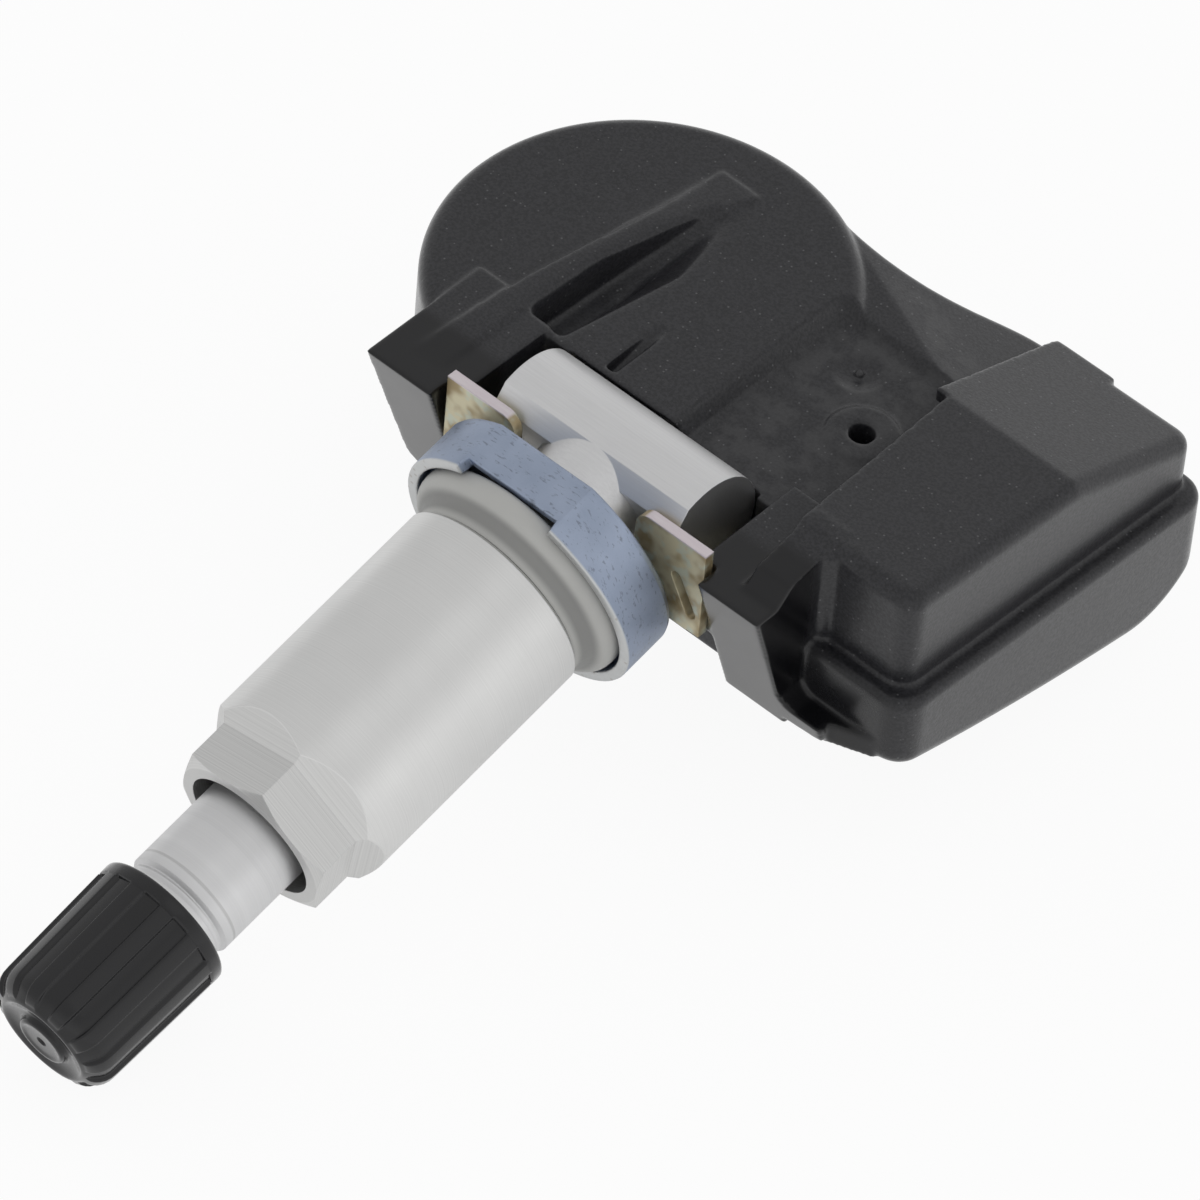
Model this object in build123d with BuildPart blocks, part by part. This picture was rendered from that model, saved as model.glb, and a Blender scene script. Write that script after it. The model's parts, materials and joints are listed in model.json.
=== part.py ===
from build123d import *
import os
from math import cos, pi, radians, sin

# Tyre pressure sensor with a clamp-in swivel valve.
# The frame's origin is on the valve axis, at the seat where the wheel rim is clamped.
# X runs along the valve's cross bar, Y from the cap towards the housing, Z up from the housing's top.
# Housing sizes are measured from the cross bar's axis, in X, Y and Z.
# Valve sizes are measured along the valve axis, from the cross bar's axis towards the cap.

# Shared clearances
running_gap = 0.07
fit_gap = 0.02
swivel_gap = 0.3
face_gap = 0.1

# Cross bar and neck
valve_tilt = 14.0
bar_radius = 5.0
bar_length = 16.6
bar_front = 2.3
bar_slant = 4.4
bar_slant_angle = 50.0
neck_radius = 4.9

# Retaining clip
clip_sheet = 0.8
clip_leg_inner = bar_length / 2 + 1.0
clip_leg_outer = clip_leg_inner + 1.3
clip_half = clip_leg_outer + 1.1
shoulder_front = -bar_front - 1.05
prong_front = shoulder_front - clip_sheet
prong_inner = neck_radius + 0.6
prong_top = 4.0
prong_bottom = -3.85
prong_corner = 1.3
clip_leg_top = -3.1
clip_floor_front = -1.0
clip_slot_x = (prong_inner + clip_half) / 2 + 1.5
clip_slot_width = 0.9
clip_slot_height = 3.8
clip_slot_tilt = 30.0
clip_slot_centre = -0.9

# Cup ring, clear of the clip's prongs
ring_clearance = 0.24
ring_back = ring_clearance - prong_front * cos(radians(valve_tilt)) - prong_bottom * sin(radians(valve_tilt))
ring_front = ring_back + 4.55
ring_radius = 9.95
ring_wall = 0.85
ring_base = 1.2
ring_corner = 0.6
ring_edge = 0.35
flat_half_width = 4.25
flat_front = ring_back + 3.55
flat_depth_front = 0.95
flat_depth_back = 0.6

# Grommet, between the cup and the nut
seat_distance = ring_front + 2.25
grommet_root_radius = ring_radius - ring_wall - 1.9
grommet_flange_radius = ring_radius - ring_wall - 0.3
grommet_lip_radius = grommet_flange_radius - 0.2
grommet_lip = seat_distance - 1.7
grommet_edge = 0.45

# Stem
stem_radius = 4.15
neck_end = seat_distance - 0.6
stem_run = 30.85
stem_end = seat_distance + stem_run
cap_thread_radius = 3.9
cap_thread_start = stem_end + 0.35
cap_thread_run = 10.05
stem_tip = stem_end + cap_thread_run
tip_chamfer = 0.4
air_bore_radius = 1.25

# Sleeve nut
nut_radius = 7.53
nut_edge = 0.2
nut_start = seat_distance + face_gap
nut_length = 24.05
hex_end = nut_start + nut_length
hex_start = hex_end - 3.55
hex_flats = 11.9
hex_turn = 13.7
hex_runout = 1.9
hex_chamfer = 0.8
nut_mouth_radius = stem_radius + 1.85
nut_mouth_depth = 1.1
nut_thread_run = 13.9
nut_thread_end = nut_start + nut_thread_run
nut_outer_bore_radius = stem_radius + 0.95
grommet_nose_radius = nut_radius - 0.35

# Valve core
core_thread_radius = 2.62
core_bore_radius = core_thread_radius - 0.27
bore_cone = 0.4
barrel_end = stem_tip - 1.3
barrel_length = 9.6
barrel_start = barrel_end - barrel_length
barrel_radius = core_bore_radius - 0.35
barrel_guide_radius = 0.6
barrel_pocket_radius = barrel_radius - 0.45
barrel_pocket_start = barrel_start + 5.0
core_thread_run = 5.2
core_thread_start = barrel_end - core_thread_run
core_bore_start = barrel_start - 4.0
core_seal_end = core_thread_start - bore_cone
core_seal_start = core_seal_end - 1.6
pin_radius = barrel_guide_radius - 0.2
pin_start = barrel_start - 2.0
pin_end = stem_tip - 0.5
collar_radius = barrel_pocket_radius - 0.35
collar_start = barrel_end - 1.2
collar_thickness = 0.5
cup_start = barrel_start - 1.8
cup_radius = barrel_radius - 0.3
cup_lip_radius = cup_radius - 0.4
cup_lip = 0.6
spring_wire = 0.28
spring_turns = 4.5
spring_radius = 1.0
spring_steps = 12

# Cap
cap_base = stem_end + 1.45
cap_tip = stem_tip + 3.4
cap_base_radius = cap_thread_radius + 1.3
cap_tip_radius = cap_thread_radius + 0.88
cap_shoulder = 1.4
cap_shoulder_radius = cap_tip_radius - 0.95
cap_button_radius = cap_shoulder_radius - 1.2
cap_groove = 0.25
cap_edge = 0.25
cap_seal_thickness = 1.0
cap_seal_radius = cap_thread_radius - 0.2
flute_count = 12
flute_width = 1.45
flute_floor_radius = cap_thread_radius + 0.6
flute_margin = 0.9

# Housing: round drum
drum_x = -10.13
drum_y = 13.97
drum_radius = 15.4
drum_top = 2.4
drum_edge = 1.3

# Housing: underside
belly_front_y = -6.0
belly_front_z = -10.4
belly_back_y = 28.4
belly_back_z = -15.4
body_front = 1.2

# Housing: box with its sloping top, and the wider tub below it
box_left_front = 14.3
box_left_back = 12.0
box_right = 24.95
box_front = 1.55
box_back = 31.75
box_top_front = 5.15
box_crease_y = 18.9
box_top_crease = 3.8
box_top_back = -0.85
box_corner = 1.5
box_edge = 1.1
back_pad_width = 5.4
back_pad_depth = 0.5
back_pad_edge = 0.5
tub_right = box_right + 1.45
tub_front = box_front - 1.45
tub_back = box_back + 0.65
ledge_front = -3.15
ledge_back = -5.35
tub_bottom_front = -9.35
tub_heel_run = 7.4
tub_low_y = tub_back - tub_heel_run
tub_low_z = -14.95
tub_heel_z = -11.0
tub_corner = 2.2
tub_edge = 0.6
tub_under_edge = 1.3
tub_bow = 0.4

# Housing: bridge between drum and box, with the pocket sunk into it
bridge_top = 1.65
bridge_crease = (-5.0, 28.2)
bridge_turn = 23.0
bridge_slope = 0.36
waist_curve = ((8.9, 31.1), (6.3, 29.85), (3.5, 28.8), (0.3, 28.2))
waist_start_x = -4.5
waist_end = (box_left_back + 2.0, box_back + 0.1)
waist_edge = 0.9
pocket_floor = 0.95
pocket_left = 1.9
pocket_back = 21.5
pocket_corner = 1.2
pocket_draft = 1.1

# Housing: fin, trough and wedge-shaped grooves
fin_outline = (
    (-15.9, -3.2),
    (-15.05, 7.75),
    (-13.25, 19.0),
    (-12.7, 24.9),
    (-9.2, 24.8),
    (-10.5, 20.0),
    (-12.7, 12.2),
    (-13.2, 4.3),
    (-13.2, -3.2),
)
fin_profile = ((-3.2, 2.75), (2.0, 3.0), (18.0, 3.0), (24.9, 2.55))
trough_outline = ((-12.9, 5.4), (-12.6, 12.2), (-10.4, 21.9), (-9.9, 21.9), (-10.0, 13.2), (-10.3, 5.4))
trough_front = 5.4
trough_back = 21.9
trough_front_z = -1.6
trough_slopes = ((5.4, -10.35, 0.6, -9.9), (15.5, -10.2, 0.75, -7.9), (21.9, -9.98, 2.2, -8.9))
wedge_places = ((-5.9, 5.4, 11.0), (6.9, 5.4, 8.9))
wedge_width = 0.9
wedge_depth = 1.2

# Housing: pressure port, and the gate mark in its dimple
port_x = 9.8
port_y = 14.1
port_radius = 0.9
port_boss_radius = 2.6
port_boss_height = 0.3
dimple_x = 5.8
dimple_y = 18.4
dimple_radius = 1.9
dimple_depth = 0.35
gate_radius = 0.35
gate_height = 0.5

# Housing: ears and cradle
ear_inner = clip_half + 0.4
ear_outer = ear_inner + 5.4
ear_top = 2.75
ear_bottom = -10.2
ear_front_top = -5.45
ear_front_bottom = -1.2
ear_back = 6.0
ear_round = 1.6
ear_draft = 0.9
ear_left = ear_outer + 0.55
ear_pad_left = 14.5
ear_pad_front = -3.5
ear_pad_top = 4.1
ear_pad_edge = 1.3
foot_reach = 3.6
foot_right = ear_outer + foot_reach
foot_top = -7.5
foot_bottom = -8.9
foot_round = 1.5
foot_back = 2.0
ridge_x = ear_outer + 0.2
ridge_radius = 0.45
ridge_top = 4.6
slot_half = clip_leg_outer + 0.1
slot_back = 4.6
slot_floor = -(bar_radius + swivel_gap + clip_sheet + 0.05)
clip_floor_back = slot_back - 0.4

# Inside of the housing
ceiling = -1.1
cell_x = -10.4
cell_y = 16.2
cell_radius = 10.0
cell_height = 3.2
cell_top = -7.6
cell_step = 0.3
cell_step_radius = cell_radius - 1.4
bay_gap = 0.3
bay_headroom = 0.9
board_left = cell_x + cell_radius + 0.6
board_right = box_right - 2.3
board_front = 9.4
board_back = 25.0
board_top = -7.1
board_thickness = 1.0
box_bay_ceiling = -3.1
box_bay_front = box_front + 2.4
box_bay_back = box_back - 2.2
box_bay_left = box_left_front
box_bay_floor = -9.1
post_radius = 1.0
post_inset = 1.6
cover_top = cell_top - cell_height - 0.3
cover_thickness = 0.9
cover_flange = 0.8
cover_gap = 0.05
chip_size = 6.4
chip_height = 1.9
chip_port_radius = 0.6
gasket_radius = port_radius + 1.1
coil_gap = 1.85
coil_flange_width = 4.4
coil_x = port_x + chip_size / 2 + coil_gap + coil_flange_width / 2
coil_y = 17.2
coil_flange_length = 1.5
coil_flange_height = 3.4
coil_length = 10.4
coil_core_width = 2.2
coil_core_height = 1.5
coil_core_lift = 0.9
winding_width = 3.6
winding_height = 2.8
crystal_y = 21.5
crystal_length = 5.0
crystal_width = 3.2
crystal_height = 1.2
crystal_corner = 0.4
capacitor_gap = 1.55
capacitor_length = 3.4
capacitor_x = coil_x - coil_flange_width / 2 - capacitor_gap - capacitor_length / 2
crystal_gap = 0.8
crystal_x = capacitor_x - capacitor_length / 2 - crystal_gap - crystal_length / 2
capacitor_y = 21.5
capacitor_width = 2.8
capacitor_height = 1.8
capacitor_foot = 0.5
tab_width = 3.0
tab_sheet = 0.2
tab_reach = 6.0
tab_foot = 2.2
tab_positive_y = 19.6
tab_negative_y = 12.8
tab_clear = 0.25

# Worked-out places and planes
outward = Vector(0, -cos(radians(valve_tilt)), -sin(radians(valve_tilt)))
pivot = outward * -seat_distance
pivot_y = pivot.Y
pivot_z = pivot.Z
valve_axis = Axis(pivot, outward)
valve_section = Plane(origin=pivot, x_dir=outward, z_dir=(1, 0, 0))
bar_section = Plane(origin=pivot, x_dir=-outward, z_dir=(1, 0, 0))
cap_seal_start = stem_tip + face_gap
ring_floor = ring_back + ring_base
far = 60.0


def level(height):
    """Horizontal plane at a height above the cross bar's axis."""
    return Plane(origin=(0, pivot_y, pivot_z + height))


def upright(x):
    """Plane facing +X, with its own x along Y and its own y along Z, from the cross bar's axis."""
    return Plane(origin=(x, pivot_y, pivot_z), x_dir=(0, 1, 0), z_dir=(1, 0, 0))


def facing_front(y):
    """Plane facing -Y, with its own x along X and its own y along Z, from the cross bar's axis."""
    return Plane(origin=(0, pivot_y + y, pivot_z), x_dir=(1, 0, 0), z_dir=(0, -1, 0))


def across(distance):
    """Plane square to the valve axis, with its own x along X and its own y upwards."""
    return Plane(origin=pivot + outward * distance, x_dir=(1, 0, 0), z_dir=outward)


def outline(plane, points):
    """Face on a plane inside straight lines through the points."""
    with BuildSketch(plane) as face:
        with BuildLine():
            Polyline(*points, close=True)
        make_face()
    return face.sketch


def rectangle(plane, left, right, low, high):
    """Rectangular face on a plane, given by its four edges."""
    with BuildSketch(plane) as face:
        with Locations(((left + right) / 2, (low + high) / 2)):
            Rectangle(right - left, high - low)
    return face.sketch


def disc(plane, x, y, radius):
    """Round face on a plane."""
    with BuildSketch(plane) as face:
        with Locations((x, y)):
            Circle(radius)
    return face.sketch


def finish(builder, name):
    """Labels a finished piece and writes its file."""
    builder.part.label = name
    export_step(builder.part, f"parts/{name}.step")


os.makedirs("parts", exist_ok=True)

# Valve stem: cross bar, neck and threaded stem in one piece, bored through for air
slant = radians(bar_slant_angle)
bar_knee = (bar_slant - bar_front * cos(slant)) / sin(slant)
bar_reach = bar_radius + 1
bar_knee_top = (bar_reach * sin(slant) - bar_slant) / cos(slant)
with BuildPart() as valve_stem:
    with BuildSketch(bar_section):
        Circle(bar_radius)
        with BuildLine():
            Polyline(
                (bar_reach, -bar_reach),
                (bar_reach, bar_reach),
                (bar_knee_top, bar_reach),
                (-bar_front, bar_knee),
                (-bar_front, -bar_knee),
                (bar_knee_top, -bar_reach),
                close=True,
            )
        make_face(mode=Mode.INTERSECT)
    extrude(amount=bar_length / 2, both=True)
    stem_profile = [
        (0, 0),
        (0, neck_radius),
        (neck_end, neck_radius),
        (neck_end + neck_radius - stem_radius, stem_radius),
        (stem_end, stem_radius),
        (cap_thread_start, cap_thread_radius),
        (stem_tip - tip_chamfer, cap_thread_radius),
        (stem_tip, cap_thread_radius - tip_chamfer),
        (stem_tip, 0),
    ]
    revolve(outline(valve_section, stem_profile), axis=valve_axis)
    bore_profile = [
        (-bar_reach, 0),
        (-bar_reach, air_bore_radius),
        (core_bore_start, air_bore_radius),
        (core_bore_start + bore_cone, core_bore_radius),
        (core_thread_start - bore_cone, core_bore_radius),
        (core_thread_start, core_thread_radius),
        (stem_tip, core_thread_radius),
        (stem_tip, 0),
    ]
    revolve(outline(valve_section, bore_profile), axis=valve_axis, mode=Mode.SUBTRACT)
finish(valve_stem, "valve_stem")

# Cup ring: a pressed cup round the neck, with a flat pressed into the top of its rim
flat_front_height = ring_radius - flat_depth_front
flat_back_height = ring_radius - flat_depth_back
with BuildPart() as cup_ring:
    cup_profile = [
        (ring_back, neck_radius + fit_gap),
        (ring_back, ring_radius - ring_corner),
        (ring_back + ring_corner, ring_radius),
        (ring_front, ring_radius),
        (ring_front, ring_radius - ring_wall),
        (ring_floor, ring_radius - ring_wall),
        (ring_floor, neck_radius + fit_gap),
    ]
    revolve(outline(valve_section, cup_profile), axis=valve_axis)
    panel = [
        (-ring_back, flat_back_height),
        (-flat_front, flat_front_height),
        (-flat_front, flat_front_height - ring_wall),
        (-ring_back, flat_front_height - ring_wall),
    ]
    extrude(outline(bar_section, panel), amount=flat_half_width, both=True)
    above_panel = [
        (-ring_back, flat_back_height),
        (-flat_front, flat_front_height),
        (-flat_front, ring_radius + 1),
        (-ring_back, ring_radius + 1),
    ]
    extrude(outline(bar_section, above_panel), amount=ring_radius, both=True, mode=Mode.SUBTRACT)
    notch = [
        (-flat_front, flat_front_height - ring_wall),
        (-flat_front, ring_radius + 1),
        (-ring_front - 1, ring_radius + 1),
        (-ring_front - 1, flat_front_height - ring_wall),
    ]
    extrude(outline(bar_section, notch), amount=flat_half_width, both=True, mode=Mode.SUBTRACT)
    around = [
        (ring_back - 1, ring_radius),
        (ring_back - 1, ring_radius + 2),
        (ring_front + 1, ring_radius + 2),
        (ring_front + 1, ring_radius),
    ]
    revolve(outline(valve_section, around), axis=valve_axis, mode=Mode.SUBTRACT)
finish(cup_ring, "cup_ring")

# Sealing grommet: root inside the cup, rounded flange and a cove down to the nut
flange_start = flat_front + face_gap
cove_width = seat_distance - grommet_lip
cove_height = grommet_lip_radius - grommet_nose_radius
with BuildPart() as sealing_grommet:
    grommet_profile = [
        (seat_distance, grommet_nose_radius),
        (seat_distance, neck_radius + fit_gap),
        (ring_floor, neck_radius + fit_gap),
        (ring_floor, grommet_root_radius),
        (flange_start, grommet_root_radius),
        (flange_start, grommet_flange_radius - grommet_edge),
        (flange_start + grommet_edge, grommet_flange_radius),
        (grommet_lip, grommet_lip_radius),
        (grommet_lip + 0.1 * cove_width, grommet_lip_radius - 0.55 * cove_height),
        (grommet_lip + 0.4 * cove_width, grommet_lip_radius - 0.9 * cove_height),
    ]
    revolve(outline(valve_section, grommet_profile), axis=valve_axis)
finish(sealing_grommet, "sealing_grommet")

# Sleeve nut: a turned sleeve with six milled flats that run out at a slope
with BuildPart() as hex_limit:
    with BuildSketch(across(hex_start)):
        RegularPolygon(hex_flats / 2, 6, major_radius=False, rotation=hex_turn)
    extrude(amount=hex_end - hex_start)
    with BuildSketch(across(hex_start)):
        RegularPolygon(hex_flats / 2, 6, major_radius=False, rotation=hex_turn)
    with BuildSketch(across(hex_start - 2 * hex_runout)):
        RegularPolygon(hex_flats / 2 + 2 * hex_runout, 6, major_radius=False, rotation=hex_turn)
    loft()
    with BuildSketch(across(nut_start)):
        RegularPolygon(hex_flats / 2 + 2 * hex_runout, 6, major_radius=False, rotation=hex_turn)
    extrude(amount=hex_start - 2 * hex_runout - nut_start)

with BuildPart() as sleeve_nut:
    sleeve_profile = [
        (nut_start, 0),
        (nut_start, nut_radius - nut_edge),
        (nut_start + nut_edge, nut_radius),
        (hex_end - hex_chamfer, nut_radius),
        (hex_end, nut_radius - 2 * hex_chamfer),
        (hex_end, 0),
    ]
    revolve(outline(valve_section, sleeve_profile), axis=valve_axis)
    add(hex_limit.part, mode=Mode.INTERSECT)
    nut_bore = stem_radius + running_gap
    nut_bore_profile = [
        (nut_start, 0),
        (nut_start, nut_mouth_radius),
        (nut_start + nut_mouth_depth, nut_mouth_radius),
        (nut_start + nut_mouth_depth + nut_mouth_radius - nut_bore, nut_bore),
        (nut_thread_end, nut_bore),
        (nut_thread_end + nut_outer_bore_radius - nut_bore, nut_outer_bore_radius),
        (hex_end, nut_outer_bore_radius),
        (hex_end, 0),
    ]
    revolve(outline(valve_section, nut_bore_profile), axis=valve_axis, mode=Mode.SUBTRACT)
finish(sleeve_nut, "sleeve_nut")

# Valve core: threaded barrel, its seal ring, and the sprung pin with its plunger
with BuildPart() as core_body:
    barrel_profile = [
        (barrel_start, barrel_guide_radius),
        (barrel_start, barrel_radius),
        (core_thread_start + bore_cone, barrel_radius),
        (core_thread_start + bore_cone, core_thread_radius - running_gap),
        (barrel_end, core_thread_radius - running_gap),
        (barrel_end, barrel_pocket_radius),
        (barrel_pocket_start, barrel_pocket_radius),
        (barrel_pocket_start, barrel_guide_radius),
    ]
    revolve(outline(valve_section, barrel_profile), axis=valve_axis)
finish(core_body, "core_body")

with BuildPart() as core_seal:
    seal_profile = [
        (core_seal_start, barrel_radius + fit_gap),
        (core_seal_start + bore_cone, core_bore_radius - fit_gap),
        (core_seal_end, core_bore_radius - fit_gap),
        (core_seal_end, barrel_radius + fit_gap),
    ]
    revolve(outline(valve_section, seal_profile), axis=valve_axis)
finish(core_seal, "core_seal")

with BuildPart() as core_pin:
    pin_profile = [
        (pin_start, 0),
        (pin_start, pin_radius),
        (collar_start, pin_radius),
        (collar_start, collar_radius),
        (collar_start + collar_thickness, collar_radius),
        (collar_start + collar_thickness, pin_radius),
        (pin_end, pin_radius),
        (pin_end, 0),
    ]
    revolve(outline(valve_section, pin_profile), axis=valve_axis)
finish(core_pin, "core_pin")

with BuildPart() as core_cup:
    cup_end = barrel_start - face_gap
    plunger_profile = [
        (cup_start, pin_radius + fit_gap),
        (cup_start, cup_radius),
        (cup_end - cup_lip, cup_radius),
        (cup_end, cup_lip_radius),
        (cup_end, pin_radius + fit_gap),
    ]
    revolve(outline(valve_section, plunger_profile), axis=valve_axis)
finish(core_cup, "core_cup")

spring_start = barrel_pocket_start + spring_wire
spring_length = collar_start - spring_wire - spring_start
spring_count = round(spring_turns * spring_steps)
spring_points = []
for step in range(spring_count + 1):
    turn = 2 * pi * step / spring_steps
    place = spring_start + spring_length * step / spring_count
    across_axis = Vector(1, 0, 0) * cos(turn) + outward.cross(Vector(1, 0, 0)) * sin(turn)
    spring_points.append(pivot + outward * place + across_axis * spring_radius)
with BuildPart() as core_spring:
    with BuildLine():
        spring_path = Polyline(*spring_points)
    with BuildSketch(Plane(origin=spring_path @ 0, x_dir=outward, z_dir=spring_path % 0)):
        Rectangle(spring_wire, spring_wire)
    sweep(path=spring_path, transition=Transition.RIGHT)
finish(core_spring, "core_spring")

# Cap: tapered and fluted, with a stepped crown, and the rubber disc inside it
with BuildPart() as valve_cap:
    cap_profile = [
        (cap_base, cap_thread_radius + face_gap),
        (cap_base, cap_base_radius - cap_edge),
        (cap_base + cap_edge, cap_base_radius),
        (cap_tip - cap_shoulder, cap_tip_radius),
        (cap_tip - 2 * cap_groove, cap_shoulder_radius),
        (cap_tip - cap_groove, cap_button_radius + cap_groove),
        (cap_tip - 2 * cap_groove, cap_button_radius),
        (cap_tip, cap_button_radius - cap_groove),
        (cap_tip, 0),
        (cap_seal_start + cap_seal_thickness + fit_gap, 0),
        (cap_seal_start + cap_seal_thickness + fit_gap, cap_seal_radius + fit_gap),
        (cap_seal_start, cap_seal_radius + fit_gap),
        (cap_seal_start, cap_thread_radius + face_gap),
    ]
    revolve(outline(valve_section, cap_profile), axis=valve_axis)
    with BuildSketch(across(cap_base + flute_margin)):
        with PolarLocations(flute_floor_radius + flute_width / 2, flute_count):
            Rectangle(flute_width, flute_width)
    extrude(amount=cap_tip - cap_base - cap_shoulder - flute_margin, mode=Mode.SUBTRACT)
finish(valve_cap, "valve_cap")

with BuildPart() as cap_seal:
    with BuildSketch(across(cap_seal_start)):
        Circle(cap_seal_radius)
    extrude(amount=cap_seal_thickness)
finish(cap_seal, "cap_seal")

# Retaining clip: two prongs in front of the cross bar, joined by a floor strap under it
clip_floor = slot_floor + cover_gap
with BuildPart() as retaining_clip:
    with BuildSketch(facing_front(shoulder_front)) as prongs:
        for side in (-1, 1):
            with Locations((side * (prong_inner + clip_half) / 2, (prong_top + prong_bottom) / 2)):
                Rectangle(clip_half - prong_inner, prong_top - prong_bottom)
        inner_top = prongs.vertices().group_by(Axis.Y)[-1].sort_by(Axis.X)[1:3]
        fillet(inner_top, prong_corner)
        for side in (-1, 1):
            with Locations((side * clip_slot_x, clip_slot_centre)):
                SlotOverall(clip_slot_height, clip_slot_width, rotation=90 + side * clip_slot_tilt, mode=Mode.SUBTRACT)
    extrude(amount=clip_sheet)
    for side in (-1, 1):
        leg = sorted((side * clip_leg_inner, side * clip_leg_outer))
        web = sorted((side * clip_leg_inner, side * (clip_leg_inner + clip_sheet)))
        leg_face = rectangle(level(clip_leg_top - clip_sheet), *leg, prong_front, clip_floor_back)
        extrude(leg_face, amount=clip_sheet)
        web_face = rectangle(level(clip_floor), *web, clip_floor_front, clip_floor_back)
        extrude(web_face, amount=clip_leg_top - clip_floor)
    strap = clip_leg_inner + clip_sheet
    floor_face = rectangle(level(clip_floor), -strap, strap, clip_floor_front, clip_floor_back)
    extrude(floor_face, amount=clip_sheet)
finish(retaining_clip, "retaining_clip")

# Housing forms, joined below: drum, bridge, tub, box, ears and fin
belly_slope = (belly_back_z - belly_front_z) / (belly_back_y - belly_front_y)


def belly_z(y):
    """Height of the underside's plane at a place along Y."""
    return belly_front_z + belly_slope * (y - belly_front_y)


with BuildPart() as drum_form:
    extrude(disc(level(drum_top), drum_x, drum_y, drum_radius), amount=-far / 2)
    fillet(drum_form.edges().group_by(Axis.Z)[-1], drum_edge)

waist_start = (waist_start_x, drum_y + (drum_radius**2 - (waist_start_x - drum_x) ** 2) ** 0.5)
slope_lean = (bridge_slope * sin(radians(bridge_turn)), bridge_slope * cos(radians(bridge_turn)), 1)
slope_origin = (bridge_crease[0], pivot_y + bridge_crease[1], pivot_z + bridge_top)
slope_plane = Plane(origin=slope_origin, z_dir=slope_lean)
with BuildPart() as bridge_form:
    with BuildSketch(level(bridge_top)):
        with BuildLine():
            Polyline(
                waist_start,
                (drum_x, drum_y),
                (drum_x, body_front),
                (waist_end[0], body_front),
                waist_end,
            )
            Spline(waist_end, *waist_curve, waist_start)
        make_face()
    extrude(amount=-far / 2)
    split(bisect_by=slope_plane, keep=Keep.BOTTOM)
    waist_rim = bridge_form.edges().filter_by(
        lambda edge: edge.geom_type != GeomType.LINE and edge.center().Z > pivot_z + ledge_back
    )
    fillet(waist_rim, waist_edge)

with BuildPart() as tub_form:
    with BuildSketch(upright(box_left_front)):
        with BuildLine():
            Polyline(
                (tub_back, tub_heel_z),
                (tub_back, ledge_back),
                (tub_front, ledge_front),
                (tub_front, tub_bottom_front),
            )
            ThreePointArc(
                (tub_front, tub_bottom_front),
                ((tub_front + tub_low_y) / 2, (tub_bottom_front + tub_low_z) / 2 - tub_bow),
                (tub_low_y, tub_low_z),
            )
            ThreePointArc(
                (tub_low_y, tub_low_z),
                ((tub_low_y + tub_back) / 2 + 1, (tub_low_z + tub_heel_z) / 2 - 1),
                (tub_back, tub_heel_z),
            )
        make_face()
    extrude(amount=tub_right - box_left_front)
    right_corners = tub_form.edges().filter_by(Axis.Z).group_by(Axis.X)[-1]
    fillet(right_corners, tub_corner)
    ledge_rim = tub_form.faces().sort_by(Axis.Z)[-1].edges()
    fillet(ledge_rim.filter_by(lambda edge: edge.center().X > box_left_front + face_gap), tub_edge)
    under_edges = tub_form.edges().filter_by(
        lambda edge: edge.center().Z < pivot_z + tub_bottom_front + face_gap and edge.center().X > tub_right - tub_corner
    )
    fillet(under_edges, tub_under_edge)


def box_left(y):
    """Place of the box's slanting left wall at a place along Y."""
    return box_left_front + (box_left_back - box_left_front) * (y - box_front) / (box_back - box_front)


with BuildPart() as box_form:
    box_side = [
        (box_front, ledge_back - 1),
        (box_front, box_top_front),
        (box_crease_y, box_top_crease),
        (box_back, box_top_back),
        (box_back, ledge_back - 1),
    ]
    extrude(outline(upright(0), box_side), amount=box_right)
    beside_box = [(0, -far), (box_left(-far), -far), (box_left(far), far), (0, far)]
    extrude(outline(level(-far), beside_box), amount=2 * far, mode=Mode.SUBTRACT)
    fillet(box_form.edges().filter_by(Axis.Z).group_by(Axis.X)[-1], box_corner)
    lid_faces = box_form.faces().filter_by(lambda face: face.normal_at().Z > 0.9)
    lid_rim = ShapeList(edge for face in lid_faces for edge in face.edges())
    crease_y = pivot_y + box_crease_y
    fillet(
        lid_rim.filter_by(
            lambda edge: abs(edge.center().Y - crease_y) > face_gap
            and edge.center().X > box_left(edge.center().Y - pivot_y) + face_gap
        ),
        box_edge,
    )

lid_slope = (box_top_back - box_top_crease) / (box_back - box_crease_y)
with BuildPart() as back_pad_form:
    pad_side = [
        (box_crease_y, box_top_crease - box_edge),
        (box_crease_y, box_top_crease),
        (box_back + back_pad_depth, box_top_back + lid_slope * back_pad_depth),
        (box_back + back_pad_depth, ledge_back - 1),
        (box_crease_y, ledge_back - 1),
    ]
    extrude(outline(upright(box_left_back), pad_side), amount=back_pad_width)
    fillet(back_pad_form.faces().sort_by(Axis.Y)[-1].edges().sort_by(Axis.Z)[1:], back_pad_edge)

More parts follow.
